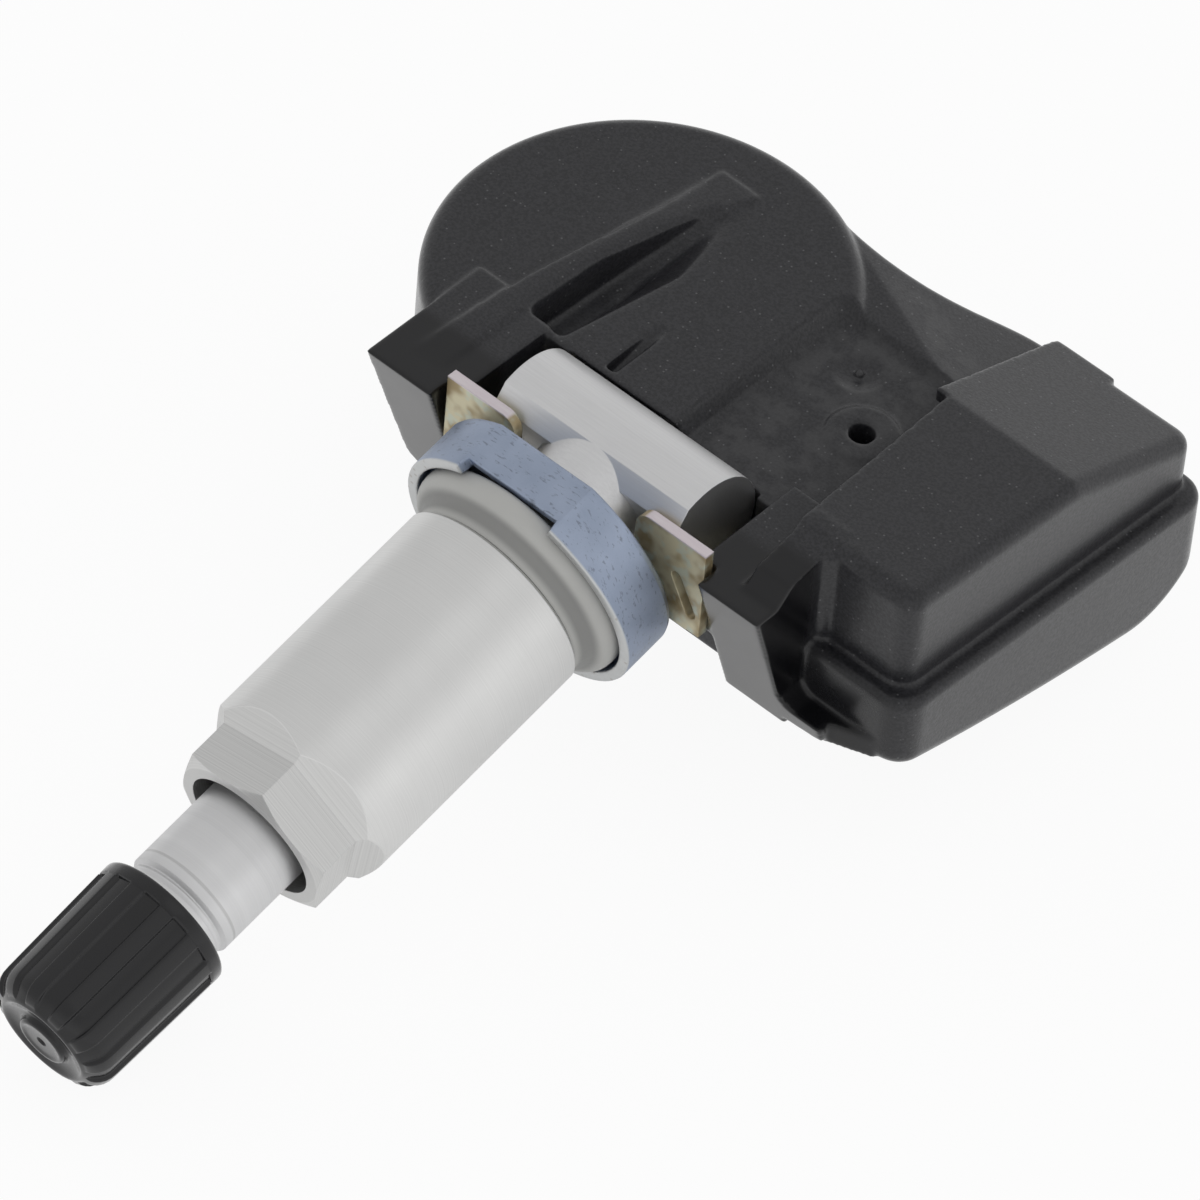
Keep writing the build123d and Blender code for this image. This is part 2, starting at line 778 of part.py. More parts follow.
ear_side = [
    (ear_front_top, ear_top),
    (ear_back, ear_top),
    (ear_back, ear_bottom),
    (ear_front_bottom, ear_bottom),
]
with BuildPart() as ears_form:
    extrude(outline(upright(0), ear_side), amount=foot_right, both=True)
    with BuildSketch(facing_front(0)) as ear_faces:
        with BuildLine():
            Polyline(
                (-slot_half, ear_top),
                (-ear_left, ear_top),
                (-ear_left + ear_draft, ear_bottom),
                (-slot_half, ear_bottom),
                close=True,
            )
        make_face()
        fillet(ear_faces.vertices().group_by(Axis.Y)[0].sort_by(Axis.X)[0], ear_round)
        with Locations(((slot_half + ear_outer) / 2, (ear_top + ear_bottom) / 2)):
            Rectangle(ear_outer - slot_half, ear_top - ear_bottom)
        with BuildLine():
            Polyline(
                (ear_outer, foot_top + foot_round),
                (ear_outer - foot_round, foot_top + foot_round),
                (ear_outer - foot_round, ear_bottom),
                (ear_outer, foot_bottom - foot_round / 3),
                (foot_right, foot_bottom),
                (foot_right, foot_top),
                (ear_outer + foot_round, foot_top),
            )
            RadiusArc((ear_outer + foot_round, foot_top), (ear_outer, foot_top + foot_round), foot_round)
        make_face()
    extrude(amount=far, both=True, mode=Mode.INTERSECT)
    behind_foot = rectangle(level(-far), ear_outer, far, foot_back, far)
    extrude(behind_foot, amount=2 * far, mode=Mode.SUBTRACT)
    pad_back = box_front + box_edge
    ear_pad_side = [
        (ear_pad_front, 0),
        (ear_pad_front, ear_pad_top - ear_pad_edge),
        (ear_pad_front + ear_pad_edge, ear_pad_top),
        (pad_back, box_top_front - face_gap),
        (pad_back + box_edge, box_top_front - face_gap),
        (pad_back + box_edge, 0),
    ]
    extrude(outline(upright(ear_pad_left), ear_pad_side), amount=ear_outer - ear_pad_left)

with BuildPart() as fin_form:
    extrude(outline(level(ceiling), fin_outline), amount=far)
    fin_side = [*fin_profile, (fin_profile[-1][0], -far), (fin_profile[0][0], -far)]
    extrude(outline(upright(0), fin_side), amount=far, both=True, mode=Mode.INTERSECT)

with BuildPart() as trough_form:
    extrude(outline(level(0), trough_outline), amount=far)
    ramp = [(trough_front, trough_front_z), (trough_back, drum_top), (trough_back, far), (trough_front, far)]
    extrude(outline(upright(0), ramp), amount=far, both=True, mode=Mode.INTERSECT)

# Sloping wall on the trough's right side, through cross-sections at three places along Y
with BuildPart() as trough_slope:
    slope_faces = []
    for station, foot_x, foot_z, rim_x in trough_slopes:
        wall = [(foot_x, foot_z), (rim_x, drum_top), (rim_x, far), (foot_x, far)]
        slope_faces.append(outline(facing_front(station), wall))
    loft(slope_faces, ruled=True)

# Pocket, with its left and back walls leaning outwards
pocket_rim = drum_top + face_gap
pocket_faces = []
for height, lean in ((pocket_floor, 0), (pocket_rim, pocket_draft)):
    with BuildSketch(level(height)) as pocket_face:
        with BuildLine():
            Polyline(
                (pocket_left - lean, slot_back),
                (box_left(slot_back), slot_back),
                (box_left(pocket_back + lean), pocket_back + lean),
                (pocket_left - lean, pocket_back + lean),
                close=True,
            )
        make_face()
        fillet(pocket_face.vertices().group_by(Axis.Y)[-1], pocket_corner)
    pocket_faces.append(pocket_face.sketch)
with BuildPart() as pocket_form:
    loft(pocket_faces, ruled=True)

# Outlines of the bays, shared by the housing and its bottom cover
board_room = (board_left - bay_gap, board_right + bay_gap, board_front - bay_gap, board_back + bay_gap)
cell_room = cell_radius + bay_gap


def well(height, growth):
    """Face at a height round the cell and the board together, grown on all sides."""
    left, right, front, back = board_room
    with BuildSketch(level(height)) as face:
        with Locations((cell_x, cell_y)):
            Circle(cell_room + growth)
        with Locations(((cell_x + right + growth) / 2, (front + back) / 2)):
            Rectangle(right + growth - cell_x, back - front + 2 * growth)
    return face.sketch


post_places = [
    (x, y)
    for x in (board_left + post_inset, board_right - post_inset)
    for y in (board_front + post_inset, board_back - post_inset)
]
with BuildPart() as housing:
    add(drum_form.part)
    add(bridge_form.part)
    under_belly = [
        (-far, belly_z(-far)),
        (far, belly_z(far)),
        (far, -far),
        (-far, -far),
    ]
    extrude(outline(upright(0), under_belly), amount=far, both=True, mode=Mode.SUBTRACT)
    add(tub_form.part)
    add(box_form.part)
    add(back_pad_form.part)
    add(ears_form.part)
    add(fin_form.part)
    tail = [
        (ear_outer - foot_round, ear_front_bottom),
        (foot_right - ridge_radius, ear_front_bottom),
        (tub_right - tub_corner, tub_front),
        (tub_right - tub_corner, tub_front + tub_corner),
        (ear_outer - foot_round, tub_front + tub_corner),
    ]
    extrude(outline(level(tub_bottom_front), tail), amount=foot_top - tub_bottom_front)
    with Locations((ridge_x, pivot_y + box_front, pivot_z + ledge_front)):
        Cylinder(ridge_radius, ridge_top - ledge_front, align=(Align.CENTER, Align.CENTER, Align.MIN))
    # Space for the cross bar, the neck and the clip
    open_front = [
        (-far, slot_floor),
        (slot_back, slot_floor),
        (slot_back, far),
        (-far, far),
    ]
    extrude(outline(upright(0), open_front), amount=slot_half, both=True, mode=Mode.SUBTRACT)
    front_gap = rectangle(level(-far), -ear_inner, ear_inner, -far, shoulder_front)
    extrude(front_gap, amount=2 * far, mode=Mode.SUBTRACT)
    under_neck = rectangle(level(-far), -slot_half, slot_half, -far, body_front)
    extrude(under_neck, amount=2 * far, mode=Mode.SUBTRACT)
    under_prongs = rectangle(level(-far), -ear_inner, ear_inner, -far, body_front)
    extrude(under_prongs, amount=far + prong_bottom, mode=Mode.SUBTRACT)
    with BuildSketch(upright(0)):
        Circle(bar_radius + swivel_gap)
    extrude(amount=bar_length / 2 + swivel_gap, both=True, mode=Mode.SUBTRACT)
    # Trough beside the fin, two wedge-shaped grooves and the pocket between drum and box
    add(trough_form.part, mode=Mode.SUBTRACT)
    add(trough_slope.part, mode=Mode.SUBTRACT)
    for wedge_x, wedge_front, wedge_back in wedge_places:
        wedge = [(wedge_front, drum_top - wedge_depth), (wedge_back, drum_top), (wedge_front, drum_top)]
        extrude(outline(upright(wedge_x), wedge), amount=wedge_width, mode=Mode.SUBTRACT)
    add(pocket_form.part, mode=Mode.SUBTRACT)
    # Port with its raised ring, and the shallow round dimple beside it
    extrude(disc(level(pocket_floor), port_x, port_y, port_boss_radius), amount=port_boss_height)
    extrude(disc(level(ceiling), port_x, port_y, port_radius), amount=far, mode=Mode.SUBTRACT)
    dimple_ball = (dimple_radius**2 + dimple_depth**2) / (2 * dimple_depth)
    with Locations((dimple_x, pivot_y + dimple_y, pivot_z + pocket_floor + dimple_ball - dimple_depth)):
        Sphere(dimple_ball, mode=Mode.SUBTRACT)
    extrude(disc(level(pocket_floor - dimple_depth - fit_gap), dimple_x, dimple_y, gate_radius), amount=gate_height)
    # Bays for the cell, the board and the coil, and the well for the bottom cover
    with BuildSketch(level(cell_top + bay_headroom)):
        with Locations((cell_x, cell_y)):
            Circle(cell_room)
        with Locations(((cell_x + board_left) / 2, (tab_negative_y + tab_positive_y) / 2)):
            Rectangle(board_left - cell_x, tab_positive_y - tab_negative_y + 2 * tab_width)
    extrude(amount=-far, mode=Mode.SUBTRACT)
    extrude(rectangle(level(ceiling), *board_room), amount=-far, mode=Mode.SUBTRACT)
    box_bay = rectangle(level(box_bay_ceiling), box_bay_left, board_room[1], box_bay_front, box_bay_back)
    extrude(box_bay, amount=box_bay_floor - box_bay_ceiling, mode=Mode.SUBTRACT)
    extrude(well(cover_top, cover_flange), amount=-far, mode=Mode.SUBTRACT)
    for post_x, post_y in post_places:
        extrude(disc(level(board_top + fit_gap), post_x, post_y, post_radius), amount=ceiling - board_top)
finish(housing, "housing")

# Bottom cover, set into the well
with BuildPart() as bottom_cover:
    extrude(well(cover_top - fit_gap, cover_flange - cover_gap), amount=-cover_thickness)
finish(bottom_cover, "bottom_cover")

# Cell with its stepped cap, and its two welded tabs
with BuildPart() as battery_cell:
    extrude(disc(level(cell_top - cell_height), cell_x, cell_y, cell_step_radius), amount=cell_height)
    can_bottom = level(cell_top - cell_height + cell_step)
    extrude(disc(can_bottom, cell_x, cell_y, cell_radius), amount=cell_height - cell_step)
finish(battery_cell, "battery_cell")

tab_start = cell_x + cell_radius - tab_reach
tab_rise = cell_x + cell_radius + tab_clear
tab_end = board_left + tab_foot


def tab_profile(strip, foot):
    """Cranked strip in X and Z: flat on the cell, up beside it and flat on the board."""
    return [
        (tab_start, strip),
        (tab_rise + tab_sheet, strip),
        (tab_rise + tab_sheet, foot),
        (tab_end, foot),
        (tab_end, foot + tab_sheet),
        (tab_rise, foot + tab_sheet),
        (tab_rise, strip + tab_sheet),
        (tab_start, strip + tab_sheet),
    ]


with BuildPart() as battery_tab_positive:
    positive = tab_profile(cell_top + fit_gap, board_top + fit_gap)
    extrude(outline(facing_front(tab_positive_y), positive), amount=tab_width / 2, both=True)
finish(battery_tab_positive, "battery_tab_positive")

with BuildPart() as battery_tab_negative:
    under_cell = cell_top - cell_height - fit_gap - tab_sheet
    under_board = board_top - board_thickness - fit_gap - tab_sheet
    negative = tab_profile(under_cell, under_board)
    extrude(outline(facing_front(tab_negative_y), negative), amount=tab_width / 2, both=True)
finish(battery_tab_negative, "battery_tab_negative")

# Circuit board and what stands on it
with BuildPart() as circuit_board:
    extrude(rectangle(level(board_top), board_left, board_right, board_front, board_back), amount=-board_thickness)
finish(circuit_board, "circuit_board")

seat = level(board_top + fit_gap)
with BuildPart() as sensor_chip:
    with BuildSketch(seat):
        with Locations((port_x, port_y)):
            Rectangle(chip_size, chip_size)
    extrude(amount=chip_height)
    chip_top = board_top + fit_gap + chip_height
    extrude(disc(level(chip_top), port_x, port_y, chip_port_radius), amount=-chip_height / 2, mode=Mode.SUBTRACT)
finish(sensor_chip, "sensor_chip")

with BuildPart() as port_gasket:
    with BuildSketch(level(chip_top + fit_gap)):
        with Locations((port_x, port_y)):
            Circle(gasket_radius)
            Circle(port_radius, mode=Mode.SUBTRACT)
    extrude(amount=ceiling - chip_top - 2 * fit_gap)
finish(port_gasket, "port_gasket")

with BuildPart() as coil_core:
    flange_offset = (coil_length - coil_flange_length) / 2
    for end in (-1, 1):
        with BuildSketch(seat):
            with Locations((coil_x, coil_y + end * flange_offset)):
                Rectangle(coil_flange_width, coil_flange_length)
        extrude(amount=coil_flange_height)
    with BuildSketch(level(board_top + fit_gap + coil_core_lift)):
        with Locations((coil_x, coil_y)):
            Rectangle(coil_core_width, coil_length - coil_flange_length)
    extrude(amount=coil_core_height)
finish(coil_core, "coil_core")

with BuildPart() as coil_winding:
    winding_middle = board_top + fit_gap + coil_core_lift + coil_core_height / 2
    winding_room = coil_length - 2 * coil_flange_length - 2 * fit_gap
    winding_centre = (coil_x, pivot_y + coil_y, pivot_z + winding_middle)
    with BuildSketch(Plane(origin=winding_centre, x_dir=(1, 0, 0), z_dir=(0, 1, 0))):
        RectangleRounded(winding_width, winding_height, (winding_height - coil_core_height) / 3)
        Rectangle(coil_core_width + 2 * fit_gap, coil_core_height + 2 * fit_gap, mode=Mode.SUBTRACT)
    extrude(amount=winding_room / 2, both=True)
finish(coil_winding, "coil_winding")

with BuildPart() as crystal:
    with BuildSketch(seat):
        with Locations((crystal_x, crystal_y)):
            RectangleRounded(crystal_length, crystal_width, crystal_corner)
    extrude(amount=crystal_height)
finish(crystal, "crystal")

with BuildPart() as capacitor:
    with BuildSketch(level(board_top + fit_gap + capacitor_foot)):
        with Locations((capacitor_x, capacitor_y)):
            Rectangle(capacitor_length, capacitor_width)
    extrude(amount=capacitor_height - capacitor_foot)
    for end in (-1, 1):
        with BuildSketch(seat):
            with Locations((capacitor_x + end * (capacitor_length - capacitor_foot) / 2, capacitor_y)):
                Rectangle(capacitor_foot, capacitor_width / 2)
        extrude(amount=capacitor_height / 2)
finish(capacitor, "capacitor")
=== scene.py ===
import json
from math import cos, pi, radians, sin

import bpy
import numpy as np
from mathutils import Matrix, Vector


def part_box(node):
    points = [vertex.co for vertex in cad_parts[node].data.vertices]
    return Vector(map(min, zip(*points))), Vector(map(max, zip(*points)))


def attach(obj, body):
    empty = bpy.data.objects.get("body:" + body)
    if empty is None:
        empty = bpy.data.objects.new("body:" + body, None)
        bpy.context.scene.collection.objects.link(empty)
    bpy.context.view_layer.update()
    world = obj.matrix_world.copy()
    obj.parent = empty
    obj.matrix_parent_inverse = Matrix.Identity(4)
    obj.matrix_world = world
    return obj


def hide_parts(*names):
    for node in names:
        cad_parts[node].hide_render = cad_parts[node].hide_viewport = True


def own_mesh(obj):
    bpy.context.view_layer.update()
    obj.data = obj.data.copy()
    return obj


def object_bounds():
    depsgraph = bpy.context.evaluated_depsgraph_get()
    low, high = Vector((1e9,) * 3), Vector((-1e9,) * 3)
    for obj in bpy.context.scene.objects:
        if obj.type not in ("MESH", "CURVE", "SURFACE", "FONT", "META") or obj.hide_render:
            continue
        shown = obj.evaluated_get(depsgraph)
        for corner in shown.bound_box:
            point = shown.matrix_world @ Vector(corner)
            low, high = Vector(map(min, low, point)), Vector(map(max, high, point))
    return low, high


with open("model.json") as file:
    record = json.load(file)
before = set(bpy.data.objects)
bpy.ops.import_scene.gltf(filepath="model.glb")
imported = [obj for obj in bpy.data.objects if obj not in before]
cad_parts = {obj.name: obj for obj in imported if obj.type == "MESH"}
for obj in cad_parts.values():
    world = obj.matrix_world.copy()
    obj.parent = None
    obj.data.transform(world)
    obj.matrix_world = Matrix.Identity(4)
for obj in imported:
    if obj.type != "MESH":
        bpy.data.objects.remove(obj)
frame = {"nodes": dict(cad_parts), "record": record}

cad_box = [list(corner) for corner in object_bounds()]
nodes = frame["nodes"]
scene = bpy.context.scene
bodies = {name: body for body, names in frame["record"]["behaviour"]["bodies"].items() for name in names}

# Blender works in metres; places and shapes below are in millimetres, and grain depths in microns
mm = 0.001
micron = 0.000001

# Directions of the valve: outwards along its axis towards the cap, and square to it upwards
valve_tilt = radians(14.0)
valve_out = Vector((0.0, -cos(valve_tilt), -sin(valve_tilt)))
valve_up = Vector((0.0, -sin(valve_tilt), cos(valve_tilt)))

# Height of the clip's highest edge, in millimetres
clip_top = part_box("retaining_clip")[1][2] / mm

# Range in which nearly all values of a noise texture lie
noise_range = (0.3, 0.7)


def place(tree, kind, **settings):
    """Adds one shader node and gives it the settings by name; inputs are set by their socket's name."""
    made = tree.nodes.new(kind)
    for name, value in settings.items():
        if name in made.inputs and not hasattr(made, name):
            made.inputs[name].default_value = value
        else:
            setattr(made, name, value)
    return made


def join(tree, source, target):
    """Links an output socket to an input socket."""
    tree.links.new(source, target)


def feed(tree, value, socket):
    """Links an output socket to an input, or sets the input to a number, vector or colour."""
    if isinstance(value, bpy.types.NodeSocket):
        join(tree, value, socket)
    elif isinstance(value, tuple):
        socket.default_value = (*value, 1.0)
    else:
        socket.default_value = value


def arithmetic(tree, operation, *values, clamp=False):
    """Adds a Math node; each value is a number or an output socket. Gives its output."""
    made = place(tree, "ShaderNodeMath", operation=operation, use_clamp=clamp)
    for socket, value in zip(made.inputs, values):
        feed(tree, value, socket)
    return made.outputs[0]


def times(tree, product, *factors):
    """Product of values, each a number or an output socket."""
    for factor in factors:
        product = arithmetic(tree, "MULTIPLY", product, factor)
    return product


def step_between(tree, value, low, high):
    """Smooth step of a value from 0 at low to 1 at high, or falling from 1 where low is the larger."""
    made = place(tree, "ShaderNodeMapRange", interpolation_type="SMOOTHSTEP")
    rising = low < high
    ends = (low, high, 0.0, 1.0) if rising else (high, low, 1.0, 0.0)
    feed(tree, value, made.inputs["Value"])
    for name, number in zip(("From Min", "From Max", "To Min", "To Max"), ends):
        made.inputs[name].default_value = number
    return made.outputs["Result"]


def window(tree, value, rise, fall):
    """Mask that is 1 between two edges: one smooth step up, times one smooth step down."""
    return times(tree, step_between(tree, value, *rise), step_between(tree, value, *fall))


def stretch(tree, value, low, high, to_low, to_high):
    """Linear change of a value's range, held at its ends."""
    made = place(tree, "ShaderNodeMapRange", clamp=True)
    ends = (low, high, to_low, to_high)
    feed(tree, value, made.inputs["Value"])
    for name, number in zip(("From Min", "From Max", "To Min", "To Max"), ends):
        feed(tree, number, made.inputs[name])
    return made.outputs["Result"]


def from_noise(tree, noise, at_low, at_high):
    """Value that follows a noise from one number to another over the noise's usual range."""
    return stretch(tree, noise, *noise_range, at_low, at_high)


def blend_colours(tree, factor, first, second):
    """Mixes two colours by a factor; each is a tuple or an output socket."""
    made = place(tree, "ShaderNodeMix", data_type="RGBA")
    for socket, value in ((made.inputs[0], factor), (made.inputs[6], first), (made.inputs[7], second)):
        feed(tree, value, socket)
    return made.outputs[2]


def blend_values(tree, factor, first, second):
    """Mixes two numbers by a factor; each is a number or an output socket."""
    made = place(tree, "ShaderNodeMix", data_type="FLOAT")
    for socket, value in zip(made.inputs[:1] + made.inputs[2:4], (factor, first, second)):
        feed(tree, value, socket)
    return made.outputs[0]


def start_group(name, inputs, outputs):
    """New shader node group with the named sockets. Gives its tree, its input node and its output node."""
    tree = bpy.data.node_groups.new(name, "ShaderNodeTree")
    for label, kind, value in inputs:
        socket = tree.interface.new_socket(label, in_out="INPUT", socket_type=kind)
        if value is not None:
            socket.default_value = value
    for label, kind in outputs:
        tree.interface.new_socket(label, in_out="OUTPUT", socket_type=kind)
    return tree, tree.nodes.new("NodeGroupInput"), tree.nodes.new("NodeGroupOutput")


def use_group(tree, group, **values):
    """Places a node group in a tree and feeds its inputs by name."""
    made = place(tree, "ShaderNodeGroup", node_tree=group)
    for name, value in values.items():
        feed(tree, value, made.inputs[name])
    return made


def valve_place_group():
    """Where a point is on the valve: its distance along the axis from the rim seat in millimetres,
    its distance from the axis in millimetres, and its turn about the axis in radians."""
    tree, taken, given = start_group(
        "Valve place",
        [("Position", "NodeSocketVector", None)],
        [("Along", "NodeSocketFloat"), ("Radius", "NodeSocketFloat"), ("Turn", "NodeSocketFloat")],
    )
    parts = []
    for direction in (valve_out, Vector((1.0, 0.0, 0.0)), valve_up):
        dot = place(tree, "ShaderNodeVectorMath", operation="DOT_PRODUCT")
        join(tree, taken.outputs["Position"], dot.inputs[0])
        dot.inputs[1].default_value = direction / mm
        parts.append(dot.outputs["Value"])
    along, sideways, upwards = parts
    squares = arithmetic(tree, "ADD", times(tree, sideways, sideways), times(tree, upwards, upwards))
    join(tree, along, given.inputs["Along"])
    join(tree, arithmetic(tree, "SQRT", squares), given.inputs["Radius"])
    join(tree, arithmetic(tree, "ARCTAN2", sideways, upwards), given.inputs["Turn"])
    return tree


def grain_group():
    """Moulded or cast grain: a fine noise for height, and a slow one for clouds of tone."""
    cloud_ratio = 0.06
    tree, taken, given = start_group(
        "Fine grain",
        [("Position", "NodeSocketVector", None), ("Fineness", "NodeSocketFloat", 4000.0)],
        [("Height", "NodeSocketFloat"), ("Cloud", "NodeSocketFloat")],
    )
    for label, ratio, detail in (("Height", 1.0, 3.0), ("Cloud", cloud_ratio, 2.0)):
        texture = place(tree, "ShaderNodeTexNoise", Detail=detail, Roughness=0.6)
        join(tree, taken.outputs["Position"], texture.inputs["Vector"])
        join(tree, times(tree, taken.outputs["Fineness"], ratio), texture.inputs["Scale"])
        join(tree, texture.outputs[0], given.inputs[label])
    return tree


def speck_group():
    """Sparse specks: dots in the middles of Voronoi cells, kept in the share of cells whose random value
    is low."""
    edge_sharpness = 2.0
    tree, taken, given = start_group(
        "Sparse specks",
        [
            ("Position", "NodeSocketVector", None),
            ("Density", "NodeSocketFloat", 1000.0),
            ("Share", "NodeSocketFloat", 0.3),
            ("Dot", "NodeSocketFloat", 0.12),
        ],
        [("Specks", "NodeSocketFloat")],
    )
    cells = place(tree, "ShaderNodeTexVoronoi")
    join(tree, taken.outputs["Position"], cells.inputs["Vector"])
    join(tree, taken.outputs["Density"], cells.inputs["Scale"])
    shades = place(tree, "ShaderNodeSeparateColor")
    join(tree, cells.outputs["Color"], shades.inputs[0])
    chosen = arithmetic(tree, "LESS_THAN", shades.outputs[0], taken.outputs["Share"])
    reach = arithmetic(tree, "DIVIDE", cells.outputs["Distance"], taken.outputs["Dot"])
    near = arithmetic(tree, "SUBTRACT", 1.0, reach)
    spot = arithmetic(tree, "MULTIPLY", near, edge_sharpness, clamp=True)
    join(tree, times(tree, spot, chosen), given.inputs["Specks"])
    return tree


def turning_group():
    """Lathe marks: noise that changes only along the axis, so each mark is a ring round it; fine rings
    and wider bands."""
    band_ratio = 0.12
    tree, taken, given = start_group(
        "Turning marks",
        [("Along", "NodeSocketFloat", 0.0), ("Pitch", "NodeSocketFloat", 0.12)],
        [("Rings", "NodeSocketFloat"), ("Bands", "NodeSocketFloat")],
    )
    turns = arithmetic(tree, "DIVIDE", taken.outputs["Along"], taken.outputs["Pitch"])
    for label, ratio in (("Rings", 1.0), ("Bands", band_ratio)):
        texture = place(tree, "ShaderNodeTexNoise", noise_dimensions="1D", Detail=2.0, Scale=1.0)
        join(tree, times(tree, turns, ratio), texture.inputs["W"])
        join(tree, texture.outputs[0], given.inputs[label])
    return tree


def streak_group():
    """Drawn or milled streaks: noise whose position is scaled by a vector, small along the streaks."""
    tree, taken, given = start_group(
        "Drawn streaks",
        [("Position", "NodeSocketVector", None), ("Fineness", "NodeSocketVector", None)],
        [("Streaks", "NodeSocketFloat")],
    )
    scaled = place(tree, "ShaderNodeVectorMath", operation="MULTIPLY")
    join(tree, taken.outputs["Position"], scaled.inputs[0])
    join(tree, taken.outputs["Fineness"], scaled.inputs[1])
    texture = place(tree, "ShaderNodeTexNoise", Detail=3.0, Roughness=0.65, Scale=1.0)
    join(tree, scaled.outputs[0], texture.inputs["Vector"])
    join(tree, texture.outputs[0], given.inputs["Streaks"])
    return tree


valve_place = valve_place_group()
fine_grain = grain_group()
sparse_specks = speck_group()
turning_marks = turning_group()
drawn_streaks = streak_group()


def start_material(name, **values):
    """New material with a Principled shader whose plain sockets are set here.
    Gives the material, its tree, the shader and the Object coordinates."""
    made = bpy.data.materials.new(name)
    made.use_nodes = True
    tree = made.node_tree
    shader = tree.nodes["Principled BSDF"]
    for label, value in values.items():
        shader.inputs[label.replace("_", " ")].default_value = value
    position = place(tree, "ShaderNodeTexCoord").outputs["Object"]
    return made, tree, shader, position


def paint(tree, shader, colour, roughness):
    """Feeds a colour and a roughness into the shader."""
    join(tree, colour, shader.inputs["Base Color"])
    join(tree, roughness, shader.inputs["Roughness"])


def raise_bumps(tree, shader, height, distance, rounding=0.0):
    """Feeds a height through a Bump node into the shader's normal, over edges rounded by a radius.
    Both lengths are in microns."""
    bump = place(tree, "ShaderNodeBump", Strength=1.0, Distance=distance * micron)
    join(tree, height, bump.inputs["Height"])
    if rounding:
        edges = place(tree, "ShaderNodeBevel", samples=4, Radius=rounding * micron)
        join(tree, edges.outputs["Normal"], bump.inputs["Normal"])
    join(tree, bump.outputs["Normal"], shader.inputs["Normal"])


def coordinate(tree, position, axis):
    """One coordinate of a position, in millimetres."""
    split = place(tree, "ShaderNodeSeparateXYZ")
    join(tree, position, split.inputs[0])
    return times(tree, split.outputs[axis], 1.0 / mm)


def housing_plastic():
    """Moulded nylon: spark-eroded grain with fine pale specks on the body, dust in the pocket,
    and smoother, glossier ears in front."""
    nylon_dark = (0.0105, 0.0105, 0.0125)
    nylon_light = (0.0165, 0.0165, 0.019)
    grain_colour = (0.027, 0.027, 0.0305)
    dust_colour = (0.055, 0.055, 0.057)
    speck_colour = (0.13, 0.13, 0.135)
    ear_colour = (0.005, 0.005, 0.006)
    dust_and_shade_shown = 0.5
    specks_shown = 0.6
    ear_grain = 0.2
    # Each edge is the pair of places between which it fades: forwards, upwards or to the right
    ears_edge = (12.6, 11.2)
    pocket_bottom = (3.2, 3.5)
    pocket_top = (4.5, 4.1)
    pocket_left = (0.5, 3.0)
    pocket_right = (12.0, 10.5)
    made, tree, shader, position = start_material(
        "charcoal_nylon", IOR=1.36, Coat_IOR=1.24, Coat_Weight=0.95, Coat_Roughness=0.22
    )
    grain = use_group(tree, fine_grain, Position=position, Fineness=4600.0)
    dust = use_group(tree, fine_grain, Position=position, Fineness=9000.0)
    specks = use_group(tree, sparse_specks, Position=position, Density=2100.0, Share=0.28, Dot=0.2)
    ears = step_between(tree, coordinate(tree, position, "Y"), *ears_edge)
    mottle = step_between(tree, grain.outputs["Height"], 0.36, 0.64)
    body = blend_colours(tree, grain.outputs["Cloud"], nylon_dark, nylon_light)
    body = blend_colours(tree, mottle, body, grain_colour)
    pocket = times(
        tree,
        window(tree, coordinate(tree, position, "Z"), pocket_bottom, pocket_top),
        window(tree, coordinate(tree, position, "X"), pocket_left, pocket_right),
    )
    patches = step_between(tree, dust.outputs["Cloud"], 0.4, 0.62)
    body = blend_colours(tree, times(tree, pocket, patches, dust_and_shade_shown), body, dust_colour)
    body = blend_colours(tree, times(tree, specks.outputs["Specks"], specks_shown), body, speck_colour)
    grained = from_noise(tree, grain.outputs["Height"], 0.42, 0.32)
    polished = from_noise(tree, grain.outputs["Cloud"], 0.26, 0.19)
    colour = blend_colours(tree, ears, body, ear_colour)
    paint(tree, shader, colour, blend_values(tree, ears, grained, polished))
    depth = blend_values(tree, ears, 1.0, ear_grain)
    raise_bumps(tree, shader, times(tree, grain.outputs["Height"], depth), distance=22.0, rounding=140.0)
    return made


def grained_plastic(name, dark, light, roughness, fineness, depth, coat=0.0):
    """Moulded plastic: cloudy dark colour with a fine grain in height and gloss, under a smooth skin as
    strong as the coat, none by default.
    """
    gloss_spread = 0.06
    made, tree, shader, position = start_material(
        name, IOR=1.42, Coat_IOR=1.25, Coat_Weight=coat, Coat_Roughness=0.16
    )
    grain = use_group(tree, fine_grain, Position=position, Fineness=fineness)
    colour = blend_colours(tree, grain.outputs["Cloud"], dark, light)
    gloss = from_noise(tree, grain.outputs["Height"], roughness + gloss_spread, roughness - gloss_spread)
    paint(tree, shader, colour, gloss)
    raise_bumps(tree, shader, grain.outputs["Height"], depth)
    return made


def plain_rubber(name, dark, light, roughness):
    """Rubber: soft cloudy colour with a faint bloom and a very fine grain."""
    gloss_spread = 0.05
    made, tree, shader, position = start_material(name)
    grain = use_group(tree, fine_grain, Position=position, Fineness=3000.0)
    colour = blend_colours(tree, grain.outputs["Cloud"], dark, light)
    gloss = from_noise(tree, grain.outputs["Cloud"], roughness + gloss_spread, roughness - gloss_spread)
    paint(tree, shader, colour, gloss)
    raise_bumps(tree, shader, grain.outputs["Height"], distance=6.0)
    return made


